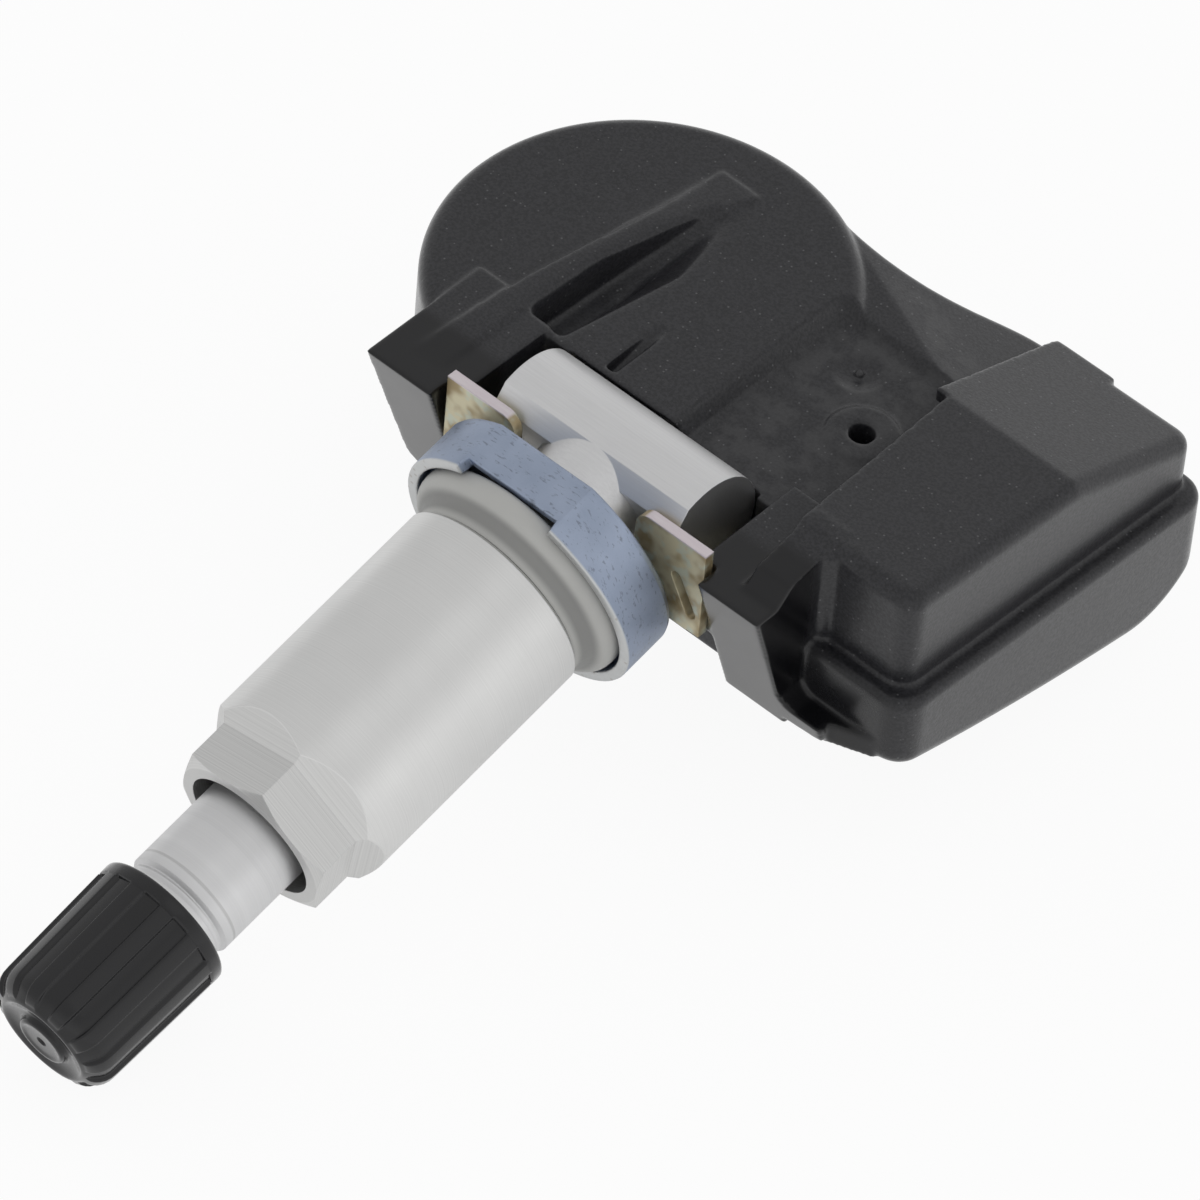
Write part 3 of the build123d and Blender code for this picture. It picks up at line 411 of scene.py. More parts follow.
def grommet_rubber():
    """Grommet: pale warm grey rubber with a fine grain, darker in the cove, where shade is painted into the
    colour.
    """
    rubber_dark = (0.47, 0.47, 0.455)
    rubber_light = (0.54, 0.54, 0.52)
    # Painted shade in the cove: its colour and the share of it shown
    cove_shade_colour = (0.2, 0.2, 0.195)
    dust_and_shade_shown = 0.75
    cove_radius = (8.4, 7.75)
    cove_along = (-0.15, -0.7)
    made, tree, shader, position = start_material("warm_grey_rubber")
    valve = use_group(tree, valve_place, Position=position)
    grain = use_group(tree, fine_grain, Position=position, Fineness=3000.0)
    open_rubber = blend_colours(tree, grain.outputs["Cloud"], rubber_dark, rubber_light)
    cove = times(
        tree,
        step_between(tree, valve.outputs["Radius"], *cove_radius),
        step_between(tree, valve.outputs["Along"], *cove_along),
    )
    # Painted shade: the colour darkens in the cove towards the nut, where shade falls
    colour = blend_colours(tree, times(tree, cove, dust_and_shade_shown), open_rubber, cove_shade_colour)
    paint(tree, shader, colour, from_noise(tree, grain.outputs["Height"], 0.54, 0.44))
    raise_bumps(tree, shader, grain.outputs["Height"], distance=5.0)
    return made


def nut_aluminium():
    """Turned sleeve: fine rings along the axis, closer and duller on the milled flats and where they
    run out."""
    turned_dark = (0.69, 0.69, 0.685)
    turned_light = (0.85, 0.85, 0.84)
    milled_dark = (0.6, 0.6, 0.595)
    milled_light = (0.78, 0.78, 0.77)
    rings_share = 0.55
    cloud_share = 0.45
    flats_along = (17.2, 18.2)
    flats_radius = (7.5, 7.42)
    made, tree, shader, position = start_material("turned_aluminium", Metallic=1.0)
    valve = use_group(tree, valve_place, Position=position)
    along = valve.outputs["Along"]
    rings = use_group(tree, turning_marks, Along=along, Pitch=0.1).outputs["Rings"]
    cutter = use_group(tree, turning_marks, Along=along, Pitch=0.09).outputs["Rings"]
    grain = use_group(tree, fine_grain, Position=position, Fineness=2600.0)
    flats = times(
        tree,
        step_between(tree, along, *flats_along),
        step_between(tree, valve.outputs["Radius"], *flats_radius),
    )
    clouds = times(tree, grain.outputs["Cloud"], cloud_share)
    tone = arithmetic(tree, "MULTIPLY_ADD", rings, rings_share, clouds)
    tone = blend_values(tree, flats, tone, cutter)
    turned = blend_colours(tree, tone, turned_dark, turned_light)
    milled = blend_colours(tree, tone, milled_dark, milled_light)
    paint(tree, shader, blend_colours(tree, flats, turned, milled), from_noise(tree, tone, 0.44, 0.34))
    raise_bumps(tree, shader, blend_values(tree, flats, rings, cutter), distance=4.5, rounding=100.0)
    return made


def stem_aluminium():
    """Matt stem and cross bar: rings along the stem, threads wound round it at two places, a narrow groove
    behind the cap darkened with painted shade, grain on the neck, and drawn streaks on the bar."""
    metal_dark = (0.7, 0.7, 0.705)
    metal_light = (0.8, 0.8, 0.805)
    groove_shade_colour = (0.6, 0.6, 0.6)
    bands_share = 0.6
    rings_share = 0.4
    thread_pitch = 0.794
    # Heights are in units of the bump's own distance
    thread_height = 40.0
    groove_height = 5.0
    # Each edge is the pair of places along the axis between which it fades
    bar_edge = (-7.0, -7.6)
    neck_edge = (-0.4, -1.4)
    nut_thread_start = (0.6, 1.0)
    nut_thread_end = (17.0, 16.4)
    groove_start = (29.95, 30.05)
    groove_end = (30.25, 30.15)
    cap_thread_start = (31.1, 31.4)
    made, tree, shader, position = start_material("matt_aluminium", Metallic=1.0)
    valve = use_group(tree, valve_place, Position=position)
    along = valve.outputs["Along"]
    marks = use_group(tree, turning_marks, Along=along, Pitch=0.14)
    drawn = use_group(tree, drawn_streaks, Position=position, Fineness=Vector((260.0, 6500.0, 6500.0)))
    grain = use_group(tree, fine_grain, Position=position, Fineness=6000.0)
    rings = times(tree, marks.outputs["Rings"], rings_share)
    tone = arithmetic(tree, "MULTIPLY_ADD", marks.outputs["Bands"], bands_share, rings)
    tone = blend_values(tree, step_between(tree, along, *neck_edge), tone, grain.outputs["Height"])
    tone = blend_values(tree, step_between(tree, along, *bar_edge), tone, drawn.outputs["Streaks"])
    groove = window(tree, along, groove_start, groove_end)
    colour = blend_colours(tree, tone, metal_dark, metal_light)
    # Painted shade: the groove's colour is darkened for the shade that falls in it
    colour = blend_colours(tree, groove, colour, groove_shade_colour)
    paint(tree, shader, colour, from_noise(tree, tone, 0.52, 0.4))
    cap_thread = step_between(tree, along, *cap_thread_start)
    nut_thread = window(tree, along, nut_thread_start, nut_thread_end)
    threaded = arithmetic(tree, "MAXIMUM", cap_thread, nut_thread)
    share_of_turn = arithmetic(tree, "DIVIDE", valve.outputs["Turn"], 2.0 * pi)
    wound = arithmetic(tree, "MULTIPLY_ADD", along, 1.0 / thread_pitch, share_of_turn)
    crest = arithmetic(tree, "PINGPONG", wound, 0.5)
    height = arithmetic(tree, "MULTIPLY_ADD", times(tree, crest, threaded), thread_height, tone)
    height = arithmetic(tree, "SUBTRACT", height, times(tree, groove, groove_height))
    raise_bumps(tree, shader, height, distance=5.0, rounding=100.0)
    return made


def blue_zinc():
    """Blue-passivated ring: cloudy grey blue, short dark scratches round it, and a paler worn front edge
    with brown spots."""
    zinc_dark = (0.29, 0.345, 0.45)
    zinc_light = (0.46, 0.525, 0.66)
    scratch_colour = (0.15, 0.165, 0.2)
    worn_colour = (0.64, 0.65, 0.65)
    spot_colour = (0.3, 0.25, 0.2)
    scratches_shown = 0.55
    spots_shown = 0.35
    worn_edge = (-2.5, -2.3)
    made, tree, shader, position = start_material("blue_zinc", Metallic=1.0)
    valve = use_group(tree, valve_place, Position=position)
    grain = use_group(tree, fine_grain, Position=position, Fineness=5000.0)
    drawn = use_group(tree, drawn_streaks, Position=position, Fineness=Vector((1300.0, 4200.0, 1900.0)))
    spots = use_group(tree, sparse_specks, Position=position, Density=1700.0, Share=0.3, Dot=0.3)
    scratches = step_between(tree, drawn.outputs["Streaks"], 0.56, 0.68)
    zinc = blend_colours(tree, grain.outputs["Cloud"], zinc_dark, zinc_light)
    zinc = blend_colours(tree, times(tree, scratches, scratches_shown), zinc, scratch_colour)
    stains = times(tree, spots.outputs["Specks"], spots_shown)
    worn = blend_colours(tree, stains, worn_colour, spot_colour)
    front = step_between(tree, valve.outputs["Along"], *worn_edge)
    colour = blend_colours(tree, front, zinc, worn)
    paint(tree, shader, colour, from_noise(tree, drawn.outputs["Streaks"], 0.5, 0.38))
    raise_bumps(tree, shader, grain.outputs["Height"], distance=5.0, rounding=120.0)
    return made


def chromated_steel():
    """Iridescent chromate on spring steel: pale pink sheared edges on top, and clouds of straw, brown
    and pale green in front."""
    brown = (0.4, 0.31, 0.17)
    straw = (0.72, 0.66, 0.46)
    pale_green = (0.6, 0.68, 0.6)
    pink_dark = (0.66, 0.57, 0.62)
    pink_light = (0.8, 0.75, 0.76)
    green_shown = 0.6
    sheared_edge = (clip_top - 0.2, clip_top - 0.05)
    made, tree, shader, position = start_material("yellow_chromate", Metallic=0.45)
    grain = use_group(tree, fine_grain, Position=position, Fineness=7000.0)
    drift = use_group(tree, fine_grain, Position=position, Fineness=11000.0)
    drawn = use_group(tree, drawn_streaks, Position=position, Fineness=Vector((500.0, 4200.0, 4200.0)))
    straw_clouds = step_between(tree, grain.outputs["Cloud"], 0.38, 0.6)
    green_clouds = step_between(tree, drift.outputs["Cloud"], 0.5, 0.64)
    colour = blend_colours(tree, straw_clouds, brown, straw)
    colour = blend_colours(tree, times(tree, green_clouds, green_shown), colour, pale_green)
    pink = blend_colours(tree, drawn.outputs["Streaks"], pink_dark, pink_light)
    sheared = step_between(tree, coordinate(tree, position, "Z"), *sheared_edge)
    colour = blend_colours(tree, sheared, colour, pink)
    paint(tree, shader, colour, from_noise(tree, drawn.outputs["Streaks"], 0.44, 0.3))
    raise_bumps(tree, shader, drawn.outputs["Streaks"], distance=4.0, rounding=120.0)
    return made


def plain_metal(name, dark, light, roughness, fineness):
    """Small metal part: tone, gloss and height from drawn streaks in its own direction."""
    gloss_spread = 0.07
    made, tree, shader, position = start_material(name, Metallic=1.0)
    drawn = use_group(tree, drawn_streaks, Position=position, Fineness=Vector(fineness))
    streaks = drawn.outputs["Streaks"]
    gloss = from_noise(tree, streaks, roughness + gloss_spread, roughness - gloss_spread)
    paint(tree, shader, blend_colours(tree, streaks, dark, light), gloss)
    raise_bumps(tree, shader, streaks, distance=3.0)
    return made


def board_lacquer():
    """Board: green lacquer over paler tracks, which are bands of distance in a blocky Voronoi pattern."""
    lacquer = (0.012, 0.085, 0.032)
    track_colour = (0.03, 0.15, 0.06)
    track_spacing = 0.16
    made, tree, shader, position = start_material("board_lacquer", Coat_Weight=0.4)
    cells = place(tree, "ShaderNodeTexVoronoi", distance="MANHATTAN", Scale=420.0)
    join(tree, position, cells.inputs["Vector"])
    wave = arithmetic(tree, "PINGPONG", cells.outputs["Distance"], track_spacing)
    tracks = step_between(tree, wave, 0.09, 0.12)
    grain = use_group(tree, fine_grain, Position=position, Fineness=4000.0)
    colour = blend_colours(tree, tracks, lacquer, track_colour)
    paint(tree, shader, colour, from_noise(tree, grain.outputs["Cloud"], 0.4, 0.3))
    raise_bumps(tree, shader, tracks, distance=20.0)
    return made


def copper_winding():
    """Winding: enamelled turns side by side along Y, as a rounded wave of height, with painted shade in the
    gaps between turns.
    """
    gap_shade_colour = (0.16, 0.05, 0.02)
    copper = (0.62, 0.27, 0.11)
    turns_per_mm = 4.0
    made, tree, shader, position = start_material("copper_winding", Metallic=1.0)
    wave = arithmetic(tree, "PINGPONG", times(tree, coordinate(tree, position, "Y"), turns_per_mm), 0.5)
    crest = step_between(tree, wave, 0.05, 0.4)
    grain = use_group(tree, fine_grain, Position=position, Fineness=3000.0)
    # Painted shade: the gaps between turns take a dark colour for the shade that falls there
    colour = blend_colours(tree, crest, gap_shade_colour, copper)
    paint(tree, shader, colour, from_noise(tree, grain.outputs["Cloud"], 0.36, 0.26))
    raise_bumps(tree, shader, crest, distance=60.0)
    return made


black_rubber = plain_rubber(
    "black_rubber", dark=(0.015, 0.015, 0.015), light=(0.025, 0.025, 0.025), roughness=0.6
)
red_rubber = plain_rubber(
    "red_seal", dark=(0.14, 0.02, 0.016), light=(0.22, 0.035, 0.028), roughness=0.55
)
valve_brass = plain_metal(
    "valve_brass",
    dark=(0.5, 0.36, 0.14), light=(0.66, 0.5, 0.22), roughness=0.3, fineness=(5000.0, 5000.0, 900.0),
)
nickel_strip = plain_metal(
    "nickel_strip",
    dark=(0.58, 0.57, 0.54), light=(0.7, 0.69, 0.65), roughness=0.32, fineness=(600.0, 5200.0, 5200.0),
)
cell_steel = plain_metal(
    "cell_steel",
    dark=(0.54, 0.54, 0.52), light=(0.66, 0.66, 0.63), roughness=0.28, fineness=(3600.0, 3600.0, 700.0),
)
crystal_can = plain_metal(
    "crystal_can",
    dark=(0.6, 0.59, 0.55), light=(0.72, 0.71, 0.66), roughness=0.24, fineness=(900.0, 4800.0, 4800.0),
)
spring_wire = plain_metal(
    "spring_wire",
    dark=(0.42, 0.42, 0.41), light=(0.56, 0.56, 0.54), roughness=0.3, fineness=(4000.0, 4000.0, 4000.0),
)
sealed_cover = grained_plastic(
    "sealed_cover",
    dark=(0.01, 0.01, 0.011), light=(0.016, 0.016, 0.017), roughness=0.34, fineness=2500.0, depth=10.0,
)
chip_package = grained_plastic(
    "chip_package",
    dark=(0.014, 0.014, 0.015), light=(0.024, 0.024, 0.025), roughness=0.5, fineness=5000.0, depth=8.0,
)
grey_ferrite = grained_plastic(
    "grey_ferrite",
    dark=(0.05, 0.05, 0.054), light=(0.085, 0.085, 0.09), roughness=0.55, fineness=4000.0, depth=20.0,
)
ochre_package = grained_plastic(
    "ochre_package",
    dark=(0.36, 0.24, 0.06), light=(0.46, 0.32, 0.09), roughness=0.45, fineness=5000.0, depth=8.0,
)
cap_plastic = grained_plastic(
    "satin_cap_plastic",
    dark=(0.0045, 0.0045, 0.0055), light=(0.008, 0.008, 0.0095), roughness=0.22, fineness=6000.0,
    depth=5.0, coat=0.9,
)
finishes = {
    "housing": housing_plastic(),
    "bottom_cover": sealed_cover,
    "circuit_board": board_lacquer(),
    "battery_cell": cell_steel,
    "battery_tab_positive": nickel_strip,
    "battery_tab_negative": nickel_strip,
    "sensor_chip": chip_package,
    "port_gasket": black_rubber,
    "coil_core": grey_ferrite,
    "coil_winding": copper_winding(),
    "crystal": crystal_can,
    "capacitor": ochre_package,
    "retaining_clip": chromated_steel(),
    "valve_stem": stem_aluminium(),
    "cup_ring": blue_zinc(),
    "sealing_grommet": grommet_rubber(),
    "sleeve_nut": nut_aluminium(),
    "core_body": valve_brass,
    "core_seal": red_rubber,
    "core_pin": valve_brass,
    "core_cup": valve_brass,
    "core_spring": spring_wire,
    "valve_cap": cap_plastic,
    "cap_seal": black_rubber,
}
for name, finish in finishes.items():
    nodes[name].data.materials.clear()
    nodes[name].data.materials.append(finish)


def points_of(mesh):
    """The mesh's points as an array with a row for each point."""
    points = np.empty(3 * len(mesh.vertices))
    mesh.vertices.foreach_get("co", points)
    return points.reshape(-1, 3)


def piece_from(name, points, triangles, node, crease):
    """Mesh piece that stands for a node: points closer than a ten-thousandth of a millimetre are one,
    triangles that fall together are dropped, faces are turned outwards by the sign of the volume,
    and edges sharper than the crease angle in degrees stay sharp."""
    same_point = 1e-4 * mm
    keys = np.round(points / same_point).astype(np.int64)
    first, index = np.unique(keys, axis=0, return_index=True, return_inverse=True)[1:]
    corners = index.reshape(-1)[triangles]
    whole = (corners != np.roll(corners, 1, axis=1)).all(axis=1)
    corners = corners[whole]
    spots = points[first]
    start, middle, end = (spots[corners[:, side]] for side in range(3))
    if np.einsum("ij,ij->i", start, np.cross(middle, end)).sum() < 0:
        corners = corners[:, ::-1]
    mesh = bpy.data.meshes.new(name)
    mesh.from_pydata(spots.tolist(), [], corners.tolist())
    mesh.shade_smooth()
    mesh.set_sharp_from_angle(angle=radians(crease))
    mesh.materials.append(finishes[node])
    piece = bpy.data.objects.new(name, mesh)
    scene.collection.objects.link(piece)
    weighted = piece.modifiers.new("weighted_normals", "WEIGHTED_NORMAL")
    weighted.keep_sharp = True
    weighted.weight = 100
    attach(piece, bodies[node])
    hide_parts(node)
    return piece


def smooth_shell(node, crease):
    """The node's own surface with its points shared between neighbouring triangles, so that rounds shade
    smoothly."""
    mesh = nodes[node].data
    mesh.calc_loop_triangles()
    triangles = np.empty(3 * len(mesh.loop_triangles), dtype=np.int32)
    mesh.loop_triangles.foreach_get("vertices", triangles)
    return piece_from(node + "_shell", points_of(mesh), triangles.reshape(-1, 3), node, crease)


def baked(piece):
    """New mesh with the piece's modifiers in it; the piece itself is left without them."""
    mesh = bpy.data.meshes.new_from_object(piece.evaluated_get(bpy.context.evaluated_depsgraph_get()))
    piece.modifiers.clear()
    return mesh


def on_valve(along, radius, turn):
    """Points at distances along the valve axis and from it, at turns round it: the axis times the distance
    along, plus a spoke times the radius. The spoke is the turn's sine to the right and cosine upwards."""
    rightwards = np.sin(turn)[..., None] * np.array((1.0, 0.0, 0.0))
    upwards = np.cos(turn)[..., None] * np.array(valve_up)
    return (along[..., None] * np.array(valve_out) + radius[..., None] * (rightwards + upwards)) * mm


def grid_triangles(rows, columns, closed):
    """Two triangles for each cell of a grid that is closed round its columns, and if closed is true, round
    its rows too."""
    row = np.arange(rows if closed else rows - 1)[:, None]
    column = np.arange(columns)[None, :]
    here = row * columns + column
    beside = row * columns + (column + 1) % columns
    above = (row + 1) % rows * columns + column
    opposite = (row + 1) % rows * columns + (column + 1) % columns
    halves = np.stack([np.stack([here, beside, opposite], -1), np.stack([here, opposite, above], -1)])
    return halves.reshape(-1, 3)


def carried_round(name, along, radius, turn, closed, node, crease):
    """Piece from a profile carried round the valve axis: a row for each point of the profile and a column
    for each turn. A closed profile ends where it starts."""
    points = on_valve(along, radius, np.broadcast_to(turn, along.shape))
    triangles = grid_triangles(*along.shape, closed=closed)
    return piece_from(name, points.reshape(-1, 3), triangles, node, crease)


def fluted_cap():
    """Cap: a profile carried round the valve axis, from the bore's end to the crown's middle. Twelve ribs
    stand out along the profile's own normal, by the rib height of the place times a smooth step in turn."""
    rib_count = 12
    rib_turn = radians(23.8)
    rib_half_width = radians(8.3)
    rib_edge_width = radians(2.6)
    rib = 0.28
    side_start = 33.42
    side_end = 42.2
    side_radius = 4.92
    side_taper = 0.02
    side = np.linspace(side_start, side_end, 8)
    # Each row is the distance along the axis, the radius and the rib height
    profile = np.array(
        [
            (42.05, 0.0, 0.0), (42.05, 3.75, 0.0), (41.0, 3.75, 0.0), (41.0, 4.0, 0.0), (32.7, 4.0, 0.0),
            (32.3, 4.25, 0.0), (32.3, 4.95, 0.0), (32.34, 5.08, 0.0), (32.44, 5.17, 0.0), (32.6, 5.2, 0.0),
            (33.2, 5.19, 0.0), (33.3, 5.15, 0.02), (33.38, 5.0, 0.17),
        ]
        + [(distance, side_radius - side_taper * (distance - side_start), rib) for distance in side]
        + [
            (42.7, 4.71, rib), (43.05, 4.6, rib), (43.35, 4.42, rib), (43.58, 4.22, 0.26),
            (43.78, 4.02, 0.2), (43.92, 3.88, 0.09), (44.0, 3.8, 0.0), (44.1, 3.66, 0.0),
            (44.13, 3.52, 0.0), (44.1, 3.38, 0.0), (44.0, 3.2, 0.0), (43.86, 2.8, 0.0), (43.78, 2.4, 0.0),
            (43.76, 2.12, 0.0), (43.84, 2.02, 0.0), (44.08, 1.98, 0.0), (44.22, 1.92, 0.0), (44.3, 1.8, 0.0),
            (44.3, 1.62, 0.0), (44.24, 1.5, 0.0), (44.2, 1.2, 0.0), (44.2, 0.42, 0.0), (44.12, 0.36, 0.0),
            (43.95, 0.3, 0.0), (43.92, 0.0, 0.0),
        ]
    )
    along, radius, height = (column[:, None] for column in profile.T)
    run = np.gradient(profile[:, :2], axis=0)
    normal = np.stack([-run[:, 1], run[:, 0]], 1) / np.linalg.norm(run, axis=1)[:, None]
    # Places of the columns across one rib and the gap beside it, in degrees
    left_half = (-15, -12, -9, -8.3, -7.7, -7, -6.3, -5.7, -5, -2.5)
    right_half = (2.5, 5, 5.7, 6.3, 7, 7.7, 8.3, 9, 12)
    offsets = np.radians(np.array(left_half + right_half))
    turn = (np.arange(rib_count)[:, None] * 2 * np.pi / rib_count + offsets).reshape(-1)
    edge = np.clip((rib_half_width - np.abs(offsets)) / rib_edge_width, 0, 1)
    swell = np.tile(edge * edge * (3 - 2 * edge), rib_count)
    lift = height * swell
    lifted_along = along + lift * normal[:, :1]
    lifted_radius = np.maximum(radius + lift * normal[:, 1:], 0.0)
    turn = turn + rib_turn
    return carried_round(
        "ribbed_cap", lifted_along, lifted_radius, turn, closed=False, node="valve_cap", crease=48.0
    )


def moulded_grommet():
    """Grommet: a closed profile carried round the valve axis, with a rounded flange and a hollow cove
    towards the nut."""
    columns = 144
    # Each row is the distance along the axis and the radius
    profile = np.array(
        [
            (0.0, 7.18), (0.0, 4.95), (-5.6, 4.95), (-5.6, 7.2), (-3.15, 7.2), (-3.15, 8.3),
            (-3.11, 8.55), (-2.98, 8.71), (-2.8, 8.78), (-2.5, 8.78), (-2.15, 8.74), (-1.9, 8.67),
            (-1.7, 8.56), (-1.55, 8.42), (-1.44, 8.24), (-1.35, 8.04), (-1.25, 7.85), (-1.1, 7.66),
            (-0.9, 7.5), (-0.66, 7.37), (-0.35, 7.26), (-0.1, 7.2),
        ]
    )
    turn = np.arange(columns) * 2 * np.pi / columns
    along = np.broadcast_to(profile[:, :1], (len(profile), columns))
    radius = np.broadcast_to(profile[:, 1:], along.shape)
    return carried_round(
        "coved_grommet", along, radius, turn, closed=True, node="sealing_grommet", crease=50.0
    )


def pressed_ring():
    """Cup ring: a closed profile carried round the valve axis. Within the flat's half turn, the wall's
    radius is the chord's distance over the cosine of the turn, and the front edge is set back."""
    ring_radius = 9.95
    flat_distance = 9.02
    front_place = -2.25
    flat_setback = 1.0
    setback_turn = radians(1.0)
    sheet = 0.85
    flat_turn = np.arccos(flat_distance / ring_radius)
    even_turns = np.radians(np.arange(-180, 180, 4))
    near_corner = np.radians(np.array((-2.0, -1.0, -0.5, 0.0, 0.5, 1.0, 2.0)))
    turn = np.concatenate([even_turns, near_corner + flat_turn, near_corner - flat_turn])
    turn = np.unique(np.round(turn, 6))
    outer = np.where(np.abs(turn) < flat_turn, flat_distance / np.cos(turn), ring_radius)
    inner = outer - sheet
    inside_flat = np.clip((flat_turn - np.abs(turn)) / setback_turn, 0, 1)
    front = front_place - flat_setback * inside_flat
    back = np.full_like(turn, -6.8)
    cup_floor = np.full_like(turn, -5.65)
    bore = np.full_like(turn, 4.95)
    # Each row is the distance along the axis and the radius, for all turns
    rows = [
        (back, bore), (back, outer - 0.7), (back + 0.07, outer - 0.36), (back + 0.25, outer - 0.12),
        (back + 0.55, outer), (front - 0.15, outer), (front - 0.04, outer - 0.05), (front, outer - 0.16),
        (front, inner + 0.15), (front - 0.05, inner + 0.04), (front - 0.15, inner), (cup_floor, inner),
        (cup_floor, bore),
    ]
    along, radius = np.array(rows).transpose(1, 0, 2)
    return carried_round(
        "pressed_ring", along, radius, turn, closed=True, node="cup_ring", crease=20.0
    )


def moulded_housing():
    """Housing with a moulding's soft edges: the node's surface is sampled again on an even grid of voxels.
    Each point then moves half way to the mean of its neighbours, a few times all over and more often in
    the trough, and the grid is thinned where it is flat. The gate mark in the pocket stays crisp."""
    voxel = 0.16 * mm
    rounds_all_over = 4
    rounds_in_trough = 20
    pull = 0.5
    share_kept = 0.22
    trough_low = (-14.0, 16.6, -1.0)
    trough_high = (-6.5, 35.0, np.inf)
    gate_place = (5.8, 30.04)
    gate_radius = 0.65
    shell = smooth_shell("housing", crease=24.0)
    shell.modifiers.clear()
    sampled = shell.modifiers.new("even_grid", "REMESH")
    sampled.mode = "VOXEL"
    sampled.voxel_size = voxel
    mesh = baked(shell)
    points = points_of(mesh)
    count = len(points)
    ends = np.empty(2 * len(mesh.edges), dtype=np.int32)
    mesh.edges.foreach_get("vertices", ends)
    first, second = ends.reshape(-1, 2).T
    here = np.concatenate([first, second])
    there = np.concatenate([second, first])
    neighbours = np.bincount(here, minlength=count)[:, None]
    spots = points / mm
    in_trough = ((spots > trough_low) & (spots < trough_high)).all(axis=1)
    off_gate = np.linalg.norm(spots[:, :2] - gate_place, axis=1) >= gate_radius
    for easing in range(rounds_in_trough):
        sums = [np.bincount(here, points[there, side], count) for side in range(3)]
        mean = np.stack(sums, 1) / neighbours
        moved = off_gate if easing < rounds_all_over else in_trough
        points = points + pull * moved[:, None] * (mean - points)
    mesh.vertices.foreach_set("co", points.ravel())
    mesh.update()
    shell.data = mesh
    thinned = shell.modifiers.new("thinned", "DECIMATE")
    thinned.ratio = share_kept
    thinned.use_collapse_triangulate = True
    shell.data = baked(shell)
    shell.data.shade_smooth()
    return shell


def pressed_spring():
    """Core spring: the node's smooth surface in a mesh of its own; its points' distances along the valve
    axis are worked out but not used.
    """
    spring = smooth_shell("core_spring", crease=40.0)
    spring.data = baked(spring)
    along = points_of(spring.data) @ np.array(valve_out)
    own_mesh(spring)
    return spring


for node in ("sleeve_nut", "valve_stem", "retaining_clip"):
    smooth_shell(node, crease=24.0)
moulded_housing()
pressed_spring()
fluted_cap()
pressed_ring()
moulded_grommet()


def white_floor():
    """Floor just under the lowest point: a diffuse shader that keeps a faint shadow, mixed with plain white
    by one share where the camera sees it and by another in reflections."""
    floor_size = 3.0
    floor_drop = 0.3 * mm
    white_to_camera = 0.93
    white_mirrored = 0.55
    corners = np.array([(-1, -1), (1, -1), (1, 1), (-1, 1)]) * floor_size / 2
    points = np.column_stack([corners, np.full(4, cad_box[0][2] - floor_drop)])
    mesh = bpy.data.meshes.new("floor")
    mesh.from_pydata(points.tolist(), [], [(0, 1, 2, 3)])
    floor = bpy.data.objects.new("floor", mesh)
    scene.collection.objects.link(floor)

    made = bpy.data.materials.new("white_floor")
    made.use_nodes = True
    tree = made.node_tree
    tree.nodes.remove(tree.nodes["Principled BSDF"])
    shadowed = place(tree, "ShaderNodeBsdfDiffuse", Color=(0.95, 0.95, 0.95, 1.0))
    plain_white = place(tree, "ShaderNodeEmission", Color=(1.0, 1.0, 1.0, 1.0), Strength=1.0)
    path = place(tree, "ShaderNodeLightPath")
    seen = times(tree, path.outputs["Is Camera Ray"], white_to_camera)
    glossy = path.outputs["Is Glossy Ray"]
    mirrored = arithmetic(tree, "MAXIMUM", glossy, path.outputs["Is Transmission Ray"])
    share = arithmetic(tree, "MAXIMUM", seen, times(tree, mirrored, white_mirrored))
    mixed = place(tree, "ShaderNodeMixShader")
    join(tree, share, mixed.inputs["Fac"])
    join(tree, shadowed.outputs[0], mixed.inputs[1])
    join(tree, plain_white.outputs[0], mixed.inputs[2])
    join(tree, mixed.outputs[0], tree.nodes["Material Output"].inputs["Surface"])
    mesh.materials.append(made)


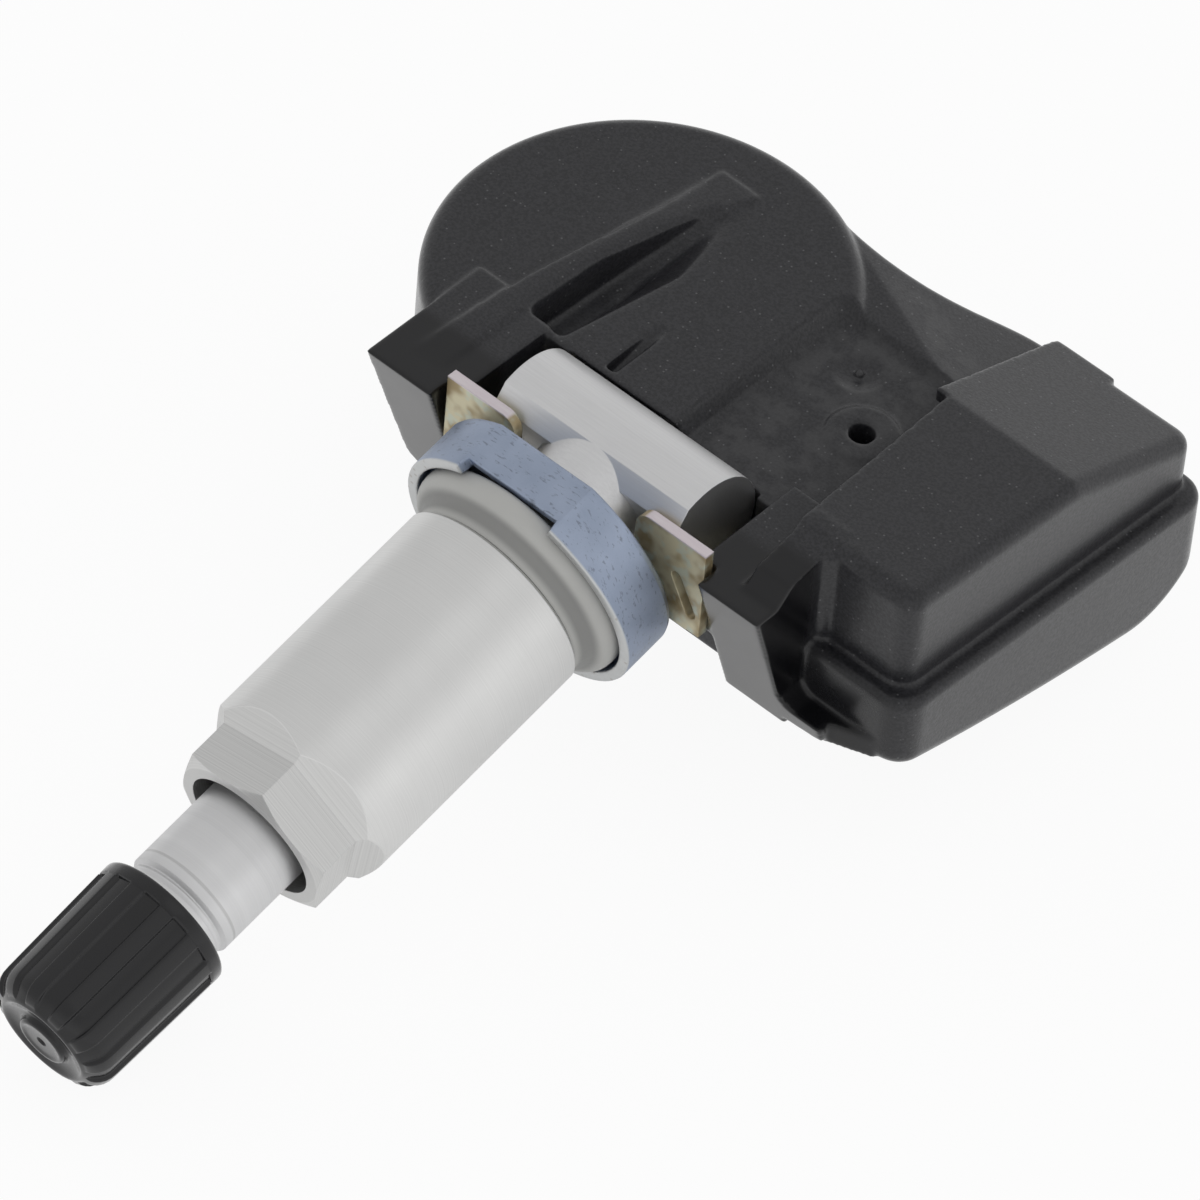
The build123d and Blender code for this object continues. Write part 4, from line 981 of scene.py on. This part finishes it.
def light_tent():
    """World like a white tent: bright at the horizon, dimmer on the left and overhead, with a soft glow
    high on the right, and white where the camera sees it."""
    horizon_light = 1.0
    left_light = 0.62
    left_range = (-0.75, 0.1)
    overhead_light = 0.64
    overhead_height = 0.7
    glow_light = 0.16
    glow_edge = (0.92, 0.99)
    glow_direction = Vector((0.44, 0.1, 0.89)).normalized()
    world = bpy.data.worlds.new("light_tent")
    scene.world = world
    world.use_nodes = True
    tree = world.node_tree
    tent = tree.nodes["Background"]
    tent.inputs["Color"].default_value = (1.0, 1.0, 1.0, 1.0)
    path = place(tree, "ShaderNodeLightPath")
    direction = place(tree, "ShaderNodeTexCoord").outputs["Generated"]
    parts = place(tree, "ShaderNodeSeparateXYZ")
    join(tree, direction, parts.inputs[0])
    skyline = stretch(tree, parts.outputs["X"], *left_range, left_light, horizon_light)
    level = stretch(tree, parts.outputs["Z"], 0.0, overhead_height, skyline, overhead_light)
    towards_glow = place(tree, "ShaderNodeVectorMath", operation="DOT_PRODUCT")
    join(tree, direction, towards_glow.inputs[0])
    towards_glow.inputs[1].default_value = glow_direction
    glow = times(tree, step_between(tree, towards_glow.outputs["Value"], *glow_edge), glow_light)
    level = arithmetic(tree, "ADD", level, glow)
    join(tree, arithmetic(tree, "MAXIMUM", level, path.outputs["Is Camera Ray"]), tent.inputs["Strength"])


def photo_camera():
    """Camera at the photograph's angle: it stands at a turn and a height round its target, rolled about its
    own line of sight and shifted to its right and upwards. Lengths are in millimetres."""
    view_turn = radians(38.41)
    view_height = radians(47.15)
    view_roll = radians(5.3)
    view_distance = 679.64
    right_offset = -1.97
    up_offset = -9.4
    target = Vector((0.0, 13.1435, 3.2731))
    level_reach = cos(view_height)
    backwards = Vector((sin(view_turn) * level_reach, -cos(view_turn) * level_reach, sin(view_height)))
    level_right = Vector((cos(view_turn), sin(view_turn), 0.0))
    level_up = backwards.cross(level_right)
    right = level_right * cos(view_roll) + level_up * sin(view_roll)
    up = level_up * cos(view_roll) - level_right * sin(view_roll)
    eye = target + backwards * view_distance + right * right_offset + up * up_offset
    lens = bpy.data.cameras.new("camera")
    lens.lens = 302.72
    lens.sensor_width = 36.0
    lens.clip_start = 0.01
    lens.clip_end = 10.0
    camera = bpy.data.objects.new("camera", lens)
    turned = Matrix((right, up, backwards)).transposed().to_4x4()
    camera.matrix_world = Matrix.Translation(eye * mm) @ turned
    scene.collection.objects.link(camera)
    scene.camera = camera


white_floor()
light_tent()
photo_camera()
scene.view_settings.view_transform = "Standard"
